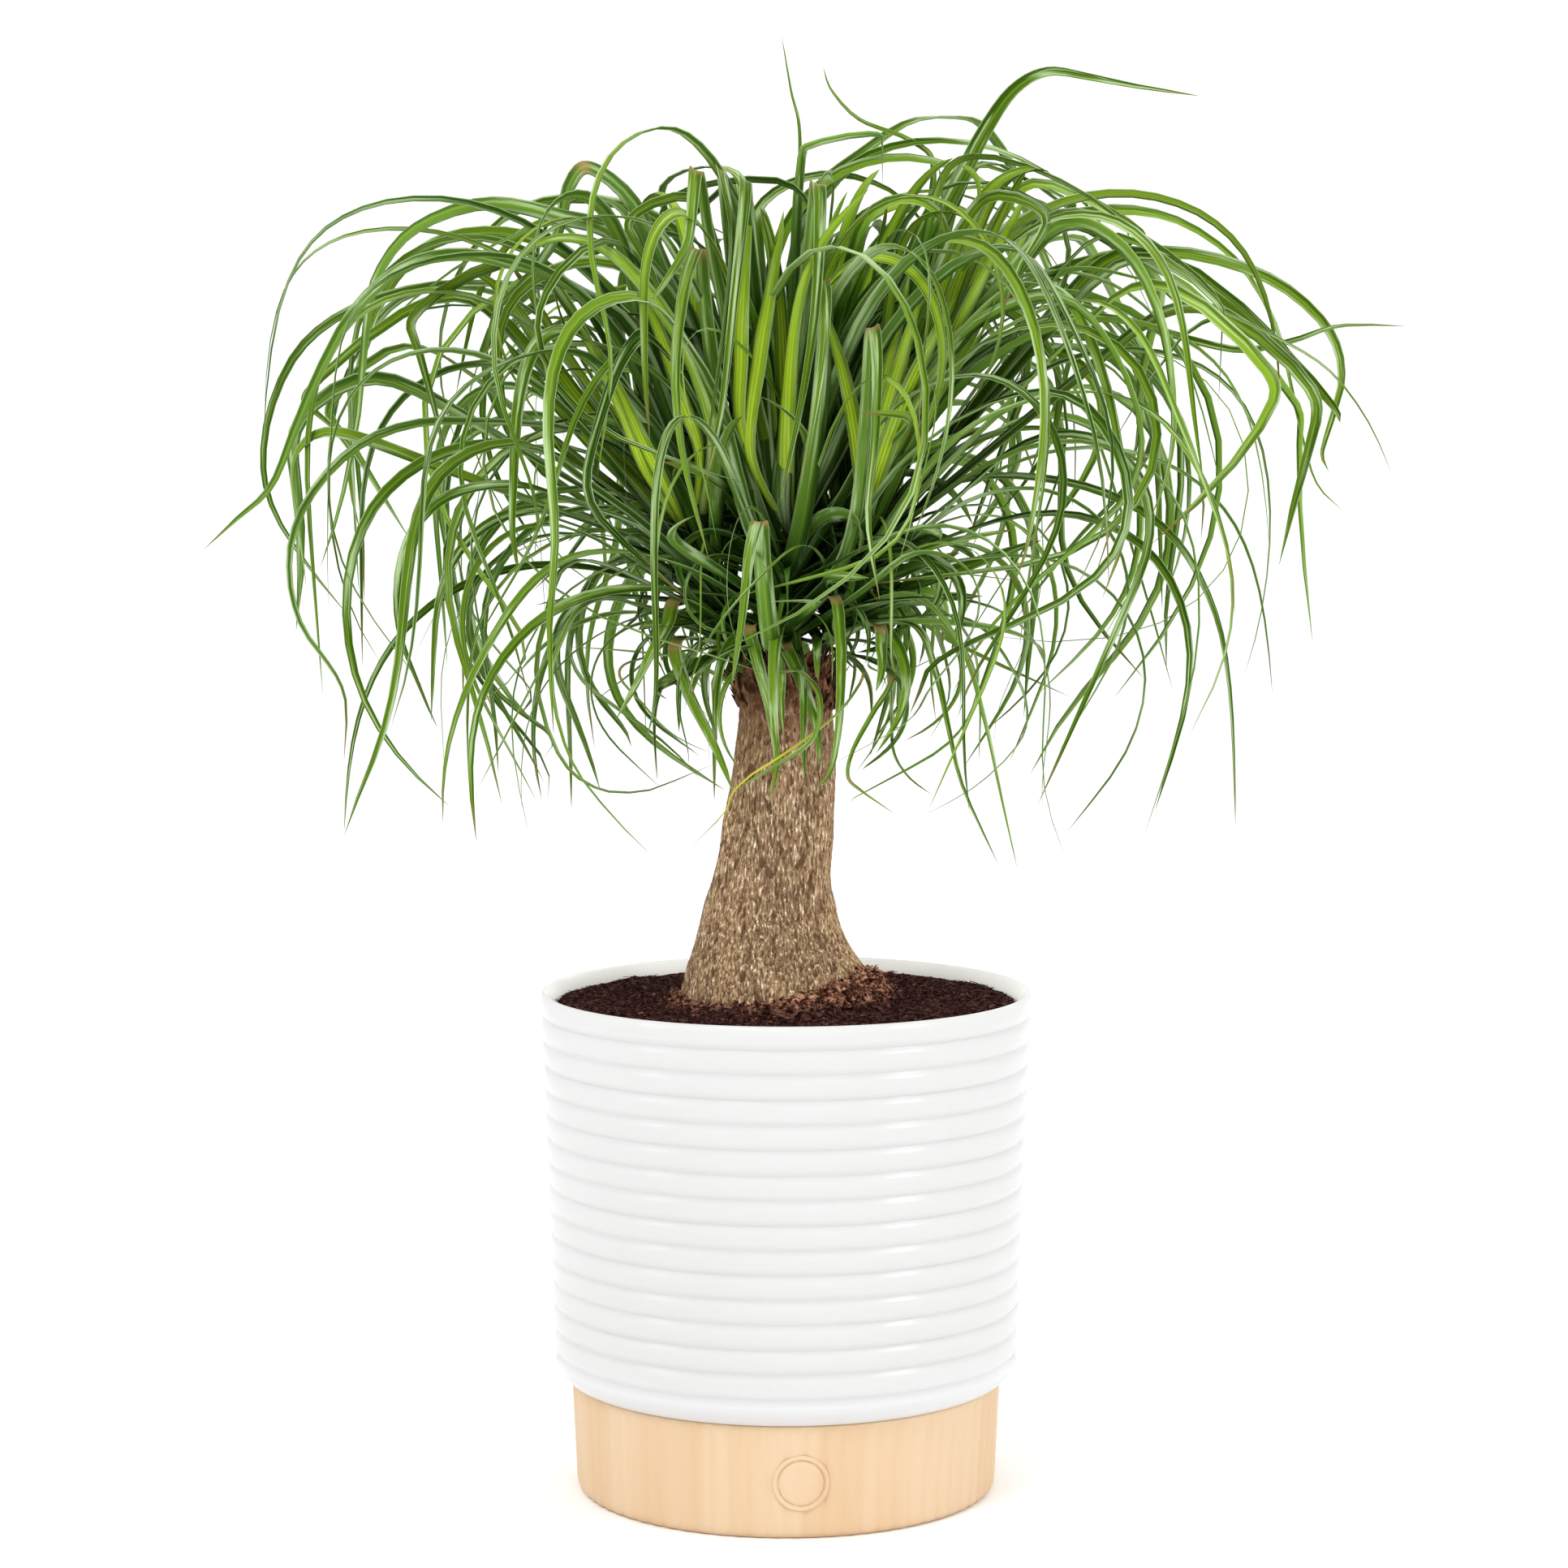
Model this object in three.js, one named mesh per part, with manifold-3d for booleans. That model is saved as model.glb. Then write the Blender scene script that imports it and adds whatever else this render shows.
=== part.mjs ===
// A ponytail palm in its planter: millimetres, +Z up, the front towards -Y,
// the origin at the middle of the base's underside.
import * as THREE from "three";
import { mergeVertices } from "three/addons/utils/BufferGeometryUtils.js";
import Module from "manifold-3d";

const wasm = await Module();
wasm.setup();

const gap = 0.3; // clearance between two pieces that touch in the real object

// The peach saucer base: a cup with soft upright flutes and a blank round medallion on the front.
const base = {
  flutes: 72,
  fluteDepth: 0.8,
  outside: [[92.2, 0], [94.2, 2.4], [96.4, 50.2]], // [radius, z] up the wall
  inside: [[90, 3], [92.5, 51]],
  insideSides: 48,
  medallion: { radius: 12, face: 95.7, depth: 5, z: 24, turn: 3.9, sides: 24 },
};

// The white planter: half-round ribs one above another, a rolled-in lip and a foot in the base.
const shell = {
  sides: 32,
  topRadius: 110,
  taper: 5.4 / 160, // the radius grows this much a millimetre of height
  grooveDepth: 1.0,
  grooves: [64, 74.3, 84.9, 95.5, 106.1, 116.7, 127.6, 138.1, 149.3, 159.8, 170.7, 182.2, 193, 203.9, 214.9],
  rimCrestZ: 219.8,
  topZ: 225,
  floorUnder: 6.8,
  foot: { z: 3.3, outer: 88, inner: 81.5 },
  lip: [[91, 50.5], [97.9, 50.5], [101.9, 54], [104.2, 59]], // [radius, z] outside, under the ribs
  inside: [[84.8, 10.3], [87.5, 54], [94.5, 57.2], [101.2, 66], [102.6, 218], [107.6, 225.01]],
  drains: { count: 6, ring: 52, radius: 4, depth: 12, sides: 12 },
};

// The potting soil: fills the planter up to a few millimetres under the rim.
const soil = {
  edgeZ: 219.3,
  wave: 0.8,
  foot: 4, // crumbs round the trunk's foot, and a heap of them against its right side
  mound: { turn: -18, rise: 10.5, reach: 57, spread: 54 },
  rings: [102.2, 88, 64, 50, 38],
  top: [-4, 0, 224],
  clearance: 0.35, // round the trunk and its roots
};

// The trunk: a swollen foot, a straight neck and four short branch stubs under the heads.
const trunk = {
  sides: 16,
  // z, middle in X, radius
  rings: [
    [186, -4, 12], [198, -4, 31], [210, -4, 42], [219, -4.2, 45.5], [226.3, -4.6, 43], [235.4, -6, 39.4],
    [246.4, -7.8, 33.7], [257.4, -7.7, 29.9], [273.8, -6.3, 26.5], [290.2, -3.8, 25.1], [306.6, -1.6, 23.6],
    [322.9, -0.5, 22.4], [339.2, 0.4, 21.2], [355.5, 0.2, 20.6], [365, 0, 21.5], [368.5, 0, 17],
  ],
  lump: 0.03,
  roots: [
    { turn: 20, drop: 34 },
    { turn: 95, drop: 26 },
    { turn: 160, drop: 38 },
    { turn: 232, drop: 28 },
    { turn: 305, drop: 36 },
  ],
  root: { length: 62, radius: 7, sides: 6 },
  stubRadius: 6.6,
};

// The four heads of leaves: which way each one leans from the trunk, and how many ordinary leaves it has.
// The front head's higher leaves part to both sides, and two of them are left out, so that the young hearts
// stay open to view.
const heads = [
  { name: "head_front", turn: -90, lean: 14, leaves: 23, parting: 34, leftOut: [6, 9] },
  { name: "head_right", turn: 0, lean: 21, leaves: 29, parting: 0, leftOut: [] },
  { name: "head_back", turn: 90, lean: 14, leaves: 31, parting: 0, leftOut: [] },
  { name: "head_left", turn: 180, lean: 28, leaves: 30, parting: 0, leftOut: [] },
];

// The short leafy stem inside each head.
const stem = { reach: 14, z: 372, length: 62, footRadius: 7.6, topRadius: 4, sides: 8 };

const finishes = {
  peach: { color: 0xf2cda4, roughness: 0.6, metalness: 0 },
  white: { color: 0xf4f4f2, roughness: 0.35, metalness: 0 },
  soil: { color: 0x2e1c17, roughness: 1, metalness: 0 },
  bark: { color: 0x9c8468, roughness: 0.9, metalness: 0 },
  leaf: { color: 0x4f7f35, roughness: 0.5, metalness: 0 },
};

// The rule that the leaves follow.
const crown = {
  seed: 7,
  goldenShare: 0.6180339887,
  steps: 48,
  segments: 6,
  chosenSegments: 8,
  keepOff: 3,
  reachSoft: 165, // beyond this radius the ordinary leaves curl down
  reachSpan: 78,
  trunkClear: 34,
};

const radians = (degrees) => (degrees * Math.PI) / 180;
const mix = (a, b, t) => a + (b - a) * t;

function smooth(from, to, x) {
  const t = Math.min(1, Math.max(0, (x - from) / (to - from)));
  return t * t * (3 - 2 * t);
}

// Repeatable random numbers from 0 to 1.
function makeRandom(seed) {
  let state = seed >>> 0;
  return () => {
    state = (state + 0x6d2b79f5) >>> 0;
    let t = state;
    t = Math.imul(t ^ (t >>> 15), t | 1);
    t ^= t + Math.imul(t ^ (t >>> 7), t | 61);
    return ((t ^ (t >>> 14)) >>> 0) / 4294967296;
  };
}

function solidFrom(geometry) {
  geometry.deleteAttribute("normal");
  geometry.deleteAttribute("uv");
  const merged = mergeVertices(geometry, 1e-4);
  return new wasm.Manifold(
    new wasm.Mesh({
      numProp: 3,
      vertProperties: new Float32Array(merged.attributes.position.array),
      triVerts: new Uint32Array(merged.index.array),
    }),
  );
}

function meshFrom(solid, name, finish) {
  const raw = solid.getMesh();
  const geometry = new THREE.BufferGeometry();
  geometry.setAttribute("position", new THREE.BufferAttribute(raw.vertProperties, 3));
  geometry.setIndex(new THREE.BufferAttribute(raw.triVerts, 1));
  geometry.computeVertexNormals();
  const mesh = new THREE.Mesh(geometry, new THREE.MeshStandardMaterial(finish));
  mesh.name = name;
  return mesh;
}

// A closed body through rings of points. The rings run counter-clockwise seen from the far end.
// A ring of one point is a tip; a ring of more points is closed by a fan at its middle.
function loft(rings) {
  const points = [];
  const faces = [];
  const starts = rings.map((ring) => {
    const start = points.length / 3;
    ring.forEach((p) => points.push(...p));
    return start;
  });
  for (let i = 0; i + 1 < rings.length; i++) {
    const n = Math.max(rings[i].length, rings[i + 1].length);
    for (let j = 0; j < n; j++) {
      const k = (j + 1) % n;
      const a = starts[i] + (rings[i].length > 1 ? j : 0);
      const b = starts[i] + (rings[i].length > 1 ? k : 0);
      const c = starts[i + 1] + (rings[i + 1].length > 1 ? k : 0);
      const d = starts[i + 1] + (rings[i + 1].length > 1 ? j : 0);
      if (a !== b) faces.push(a, b, c);
      if (c !== d) faces.push(a, c, d);
    }
  }
  const close = (i, flip) => {
    const ring = rings[i];
    if (ring.length === 1) return;
    const middle = [0, 1, 2].map((axis) => ring.reduce((sum, p) => sum + p[axis], 0) / ring.length);
    const hub = points.length / 3;
    points.push(...middle);
    ring.forEach((_, j) => {
      const a = starts[i] + j;
      const b = starts[i] + ((j + 1) % ring.length);
      faces.push(hub, flip ? b : a, flip ? a : b);
    });
  };
  close(0, true);
  close(rings.length - 1, false);
  const geometry = new THREE.BufferGeometry();
  geometry.setAttribute("position", new THREE.Float32BufferAttribute(points, 3));
  geometry.setIndex(faces);
  return solidFrom(geometry);
}

// A ring of points round the Z axis; radiusAt gets the angle in radians.
function roundRing(sides, z, radiusAt, centre = [0, 0]) {
  return Array.from({ length: sides }, (_, j) => {
    const angle = (2 * Math.PI * j) / sides;
    const r = typeof radiusAt === "number" ? radiusAt : radiusAt(angle);
    const height = typeof z === "number" ? z : z(angle);
    return [centre[0] + r * Math.cos(angle), centre[1] + r * Math.sin(angle), height];
  });
}

// A body turned round the Z axis from [radius, z] points that run up its outside.
function turned(profile, sides) {
  return loft(profile.map(([r, z]) => (r === 0 ? [[0, 0, z]] : roundRing(sides, z, r))));
}

function buildBase() {
  const count = base.flutes * 2;
  const rings = base.outside.map(([r, z]) =>
    Array.from({ length: count }, (_, j) => {
      const angle = (2 * Math.PI * j) / count;
      const reach = r - (j % 2 ? base.fluteDepth : 0);
      return [reach * Math.cos(angle), reach * Math.sin(angle), z];
    }),
  );
  const cup = loft(rings).subtract(turned(base.inside, base.insideSides));
  const { radius, face, depth, z, turn, sides } = base.medallion;
  const disc = new THREE.CylinderGeometry(radius, radius, depth, sides);
  disc.translate(0, depth / 2 - face, z);
  disc.rotateZ(radians(turn));
  return cup.add(solidFrom(disc));
}

const shellRadius = (z) => shell.topRadius - (224 - z) * shell.taper;

function buildShell() {
  const outside = [[shell.foot.outer, shell.foot.z], ...shell.lip];
  shell.grooves.forEach((z, i) => {
    const next = i + 1 < shell.grooves.length ? shell.grooves[i + 1] : null;
    outside.push([shellRadius(z) - shell.grooveDepth, z]);
    if (next) outside.push([shellRadius((z + next) / 2), (z + next) / 2]);
  });
  outside.push([shell.topRadius, shell.rimCrestZ], [109.4, 223.8], [108, shell.topZ]);
  const recess = [[shell.foot.inner, shell.foot.z - 1], [shell.foot.inner - 0.4, shell.floorUnder]];
  let pot = turned(outside, shell.sides)
    .subtract(turned(shell.inside, shell.sides))
    .subtract(turned(recess, shell.sides));
  const { count, ring, radius, depth, sides } = shell.drains;
  for (let i = 0; i < count; i++) {
    const angle = (2 * Math.PI * (i + 0.5)) / count;
    const hole = new THREE.CylinderGeometry(radius, radius, depth, sides);
    hole.rotateX(Math.PI / 2);
    hole.translate(ring * Math.cos(angle), ring * Math.sin(angle), shell.floorUnder);
    pot = pot.subtract(solidFrom(hole));
  }
  return pot;
}

// A point on a head's axis: along runs from 0 at its foot to 1 at its top.
function stemPoint(head, along) {
  const r = stem.reach + along * stem.length * Math.sin(radians(head.lean));
  const z = stem.z + along * stem.length * Math.cos(radians(head.lean));
  return new THREE.Vector3(r * Math.cos(radians(head.turn)), r * Math.sin(radians(head.turn)), z);
}

// A straight tapered rod of round section between two points.
function rod(from, to, fromRadius, toRadius, sides, pointed = false) {
  const axis = to.clone().sub(from).normalize();
  const across = new THREE.Vector3(0, 0, 1).cross(axis);
  if (across.lengthSq() < 1e-6) across.set(1, 0, 0);
  across.normalize();
  const up = axis.clone().cross(across);
  const ring = (middle, radius) =>
    Array.from({ length: sides }, (_, j) => {
      const angle = (2 * Math.PI * j) / sides;
      return middle
        .clone()
        .addScaledVector(across, radius * Math.cos(angle))
        .addScaledVector(up, radius * Math.sin(angle))
        .toArray();
    });
  return loft([ring(from, fromRadius), pointed ? [to.toArray()] : ring(to, toRadius)]);
}

// The trunk's body with its surface moved out by grow, as the hole in the soil needs.
function buildTrunk(grow) {
  const rings = trunk.rings.map(([z, x, r]) =>
    roundRing(
      trunk.sides,
      z,
      (angle) => (r + grow) * (1 + trunk.lump * Math.sin(3 * angle + z / 29) * smooth(366, 330, z)),
      [x, 0],
    ),
  );
  let body = loft(rings);
  trunk.roots.forEach(({ turn, drop }) => {
    const a = radians(turn);
    const from = new THREE.Vector3(-4 + 22 * Math.cos(a), 22 * Math.sin(a), 206);
    const out = 22 + trunk.root.length;
    const to = new THREE.Vector3(-4 + out * Math.cos(a), out * Math.sin(a), 206 - drop);
    const { radius, sides } = trunk.root;
    body = body.add(rod(from, to, radius + grow, grow + 1.2, sides));
  });
  if (grow) return body;
  heads.forEach((head) => {
    const foot = stemPoint(head, 0);
    const axis = stemPoint(head, 1).sub(foot).normalize();
    const top = foot.clone().addScaledVector(axis, -gap);
    const inside = foot.clone().addScaledVector(axis, -14);
    body = body.add(rod(inside, top, trunk.stubRadius, trunk.stubRadius, 8));
  });
  return body;
}

function soilHeight(x, y) {
  const r = Math.hypot(x + 4, y);
  const angle = Math.atan2(y, x + 4) * (180 / Math.PI);
  const side = Math.exp(-(((angle - soil.mound.turn) / soil.mound.spread) ** 2));
  const near = 1 - smooth(40, soil.mound.reach, r);
  const wave = soil.wave * Math.sin(x / 9 + 1.3) * Math.cos(y / 11 - 0.4);
  return soil.edgeZ + wave + near * (soil.foot + soil.mound.rise * side);
}

function buildSoil() {
  const rings = shell.inside.slice(0, 4).map(([r, z]) => roundRing(shell.sides, z + gap, r - gap));
  soil.rings.forEach((r) => {
    rings.push(roundRing(shell.sides, 0, r).map(([x, y]) => [x, y, soilHeight(x, y)]));
  });
  rings.push([soil.top]);
  return loft(rings).subtract(buildTrunk(soil.clearance));
}

// The leaves: one rule for most of them, and chosen leaves that draw the outline.

// Moving from one head to the next the border between their leaves is wavy.
function borderWave(k, radius, z) {
  return smooth(35, 130, radius) * 13 * Math.sin(radius / 38 + z / 47 + 1.9 * k);
}

const softLimit = (x) => (x < 0.6 ? x : 0.6 + 0.4 * Math.tanh((x - 0.6) / 0.4));
const widthShare = (s) => mix(0.75, 1, smooth(0, 0.1, s)) * Math.max(0, 1 - s) ** 0.62;

// Ordinary leaves: the lowest are oldest and hang, the highest are young and stand up.
function ordinaryLeaves(index) {
  const head = heads[index];
  const draw = makeRandom(crown.seed + 101 * index);
  return Array.from({ length: head.leaves }, (_, i) => {
    const level = (i + 0.5) / head.leaves;
    const share = (i * crown.goldenShare + 0.37 * index) % 1;
    const old = 1 - smooth(0, 0.4, level);
    const young = smooth(0.84, 1, level);
    const aside = (share - 0.5) * 2;
    const parting = head.parting * smooth(0.25, 0.45, level);
    return {
      level,
      turn: Math.sign(aside) * mix(parting, mix(64, 60, level), Math.abs(aside)) + (draw() - 0.5) * 14,
      launch: mix(6, 84, level ** 0.8) + (draw() - 0.5) * 22,
      length: mix(mix(365, 205, old), 300, young) * mix(0.8, 1.12, draw()),
      end: -mix(122, 102, level) - (draw() - 0.5) * 70,
      bendAt: mix(0.5, 0.6, level) + (draw() - 0.5) * 0.1,
      bendHalf: mix(0.5, 0.2, draw() ** 1.5),
      sway: (draw() - 0.5) * 110,
      width: mix(6.4, 10, draw()) * mix(1, 0.85, old),
      twist: (draw() - 0.5) * 90,
      lowest: mix(285, 345, draw()),
    };
  });
}

function ordinaryPath(head, leaf, length) {
  const step = length / crown.steps;
  const at = stemPoint(head, leaf.level);
  const path = [at.clone()];
  for (let i = 0; i < crown.steps; i++) {
    const s = (i + 0.5) / crown.steps;
    const bend = smooth(leaf.bendAt - leaf.bendHalf, leaf.bendAt + leaf.bendHalf, s);
    const rise = radians(mix(leaf.launch, leaf.end, bend));
    const turn = radians(head.turn + leaf.turn + leaf.sway * s * s);
    at.x += step * Math.cos(rise) * Math.cos(turn);
    at.y += step * Math.cos(rise) * Math.sin(turn);
    at.z += step * Math.sin(rise);
    path.push(at.clone());
  }
  return path.map((p) => {
    const r = Math.hypot(p.x, p.y);
    const over = (r - crown.reachSoft) / crown.reachSpan;
    const kept = over > 0 ? crown.reachSoft + crown.reachSpan * Math.tanh(over) : r;
    return new THREE.Vector3((p.x * kept) / r, (p.y * kept) / r, p.z);
  });
}

// Shortens a leaf until its tip stays above the height where it should end.
function ordinaryLeafPath(head, leaf) {
  let length = leaf.length;
  let path = ordinaryPath(head, leaf, length);
  while (path[crown.steps].z < leaf.lowest && length > 90) {
    length *= 0.95;
    path = ordinaryPath(head, leaf, length);
  }
  return path;
}

// A smooth line through the chosen points, from the head's axis outwards.
function chosenLeafPath(head, leaf) {
  const points = [stemPoint(head, leaf.level), ...leaf.points.map((p) => new THREE.Vector3(...p))];
  const last = points.length - 1;
  const blend = (a, b, c, d, f) =>
    0.5 * (2 * b + (c - a) * f + (2 * a - 5 * b + 4 * c - d) * f * f + (3 * b - a - 3 * c + d) * f ** 3);
  return Array.from({ length: crown.steps + 1 }, (_, step) => {
    const x = Math.min((step / crown.steps) * last, last - 1e-9);
    const i = Math.floor(x);
    const [a, b] = [points[Math.max(0, i - 1)], points[i]];
    const [c, d] = [points[i + 1], points[Math.min(last, i + 2)]];
    const f = x - i;
    return new THREE.Vector3(...["x", "y", "z"].map((axis) => blend(a[axis], b[axis], c[axis], d[axis], f)));
  });
}

// Keeps a leaf inside its head's share of the crown and off the trunk.
function bentClear(path, index, width) {
  const head = heads[index];
  return path.map((p, i) => {
    const s = i / crown.steps;
    let r = Math.hypot(p.x, p.y);
    const half = 0.5 * width * widthShare(s);
    const turn = Math.atan2(p.y, p.x) * (180 / Math.PI) - head.turn;
    let off = ((((turn + 180) % 360) + 360) % 360) - 180;
    const margin = Math.atan2(half + crown.keepOff, Math.max(r, 12)) * (180 / Math.PI);
    const before = (index + heads.length - 1) % heads.length;
    const limit =
      off >= 0 ? 45 + borderWave(index, r, p.z) - margin : 45 - borderWave(before, r, p.z) - margin;
    off = Math.sign(off) * limit * softLimit(Math.abs(off) / limit);
    if (p.z < 362 && s > 0.3) r = Math.max(r, crown.trunkClear);
    const a = radians(head.turn + off);
    return new THREE.Vector3(r * Math.cos(a), r * Math.sin(a), p.z);
  });
}

// Stations along a path, closer where it turns more.
function stations(path, segments) {
  const along = [0];
  for (let i = 1; i < path.length; i++) {
    const step = path[i].distanceTo(path[i - 1]);
    let bend = 0;
    if (i + 1 < path.length) {
      const before = path[i].clone().sub(path[i - 1]);
      bend = before.angleTo(path[i + 1].clone().sub(path[i]));
    }
    along.push(along[i - 1] + step / 90 + bend);
  }
  const total = along[along.length - 1];
  return Array.from({ length: segments + 1 }, (_, j) => {
    const want = (total * j) / segments;
    const i = Math.max(1, along.findIndex((value) => value >= want - 1e-9));
    return i - 1 + (want - along[i - 1]) / (along[i] - along[i - 1]);
  });
}

// A leaf blade: flat above, with a keel below, closing to a point.
function blade(path, leaf) {
  const side = new THREE.Vector3();
  const direction = new THREE.Vector3();
  const sides = path.map((_, i) => {
    direction.copy(path[Math.min(i + 1, crown.steps)]).sub(path[Math.max(i - 1, 0)]).normalize();
    if (i === 0) side.set(-direction.y, direction.x, 0);
    side.addScaledVector(direction, -side.dot(direction)).normalize();
    return { side: side.clone(), direction: direction.clone() };
  });
  const segments = leaf.points ? crown.chosenSegments : crown.segments;
  const rings = stations(path, segments).map((place, j) => {
    const i = Math.min(Math.floor(place), crown.steps - 1);
    const middle = path[i].clone().lerp(path[i + 1], place - i);
    if (j === segments) return [middle.toArray()];
    const s = place / crown.steps;
    const frame = sides[Math.round(place)];
    const across = frame.side.clone().applyAxisAngle(frame.direction, radians(leaf.twist * s * s));
    const under = across.clone().cross(frame.direction);
    const half = 0.5 * leaf.width * widthShare(s);
    const keel = Math.max(0.8, 0.3 * half);
    return [
      middle.clone().addScaledVector(across, half).toArray(),
      middle.clone().addScaledVector(across, -half).toArray(),
      middle.clone().addScaledVector(under, keel).toArray(),
    ];
  });
  return loft(rings);
}

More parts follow.
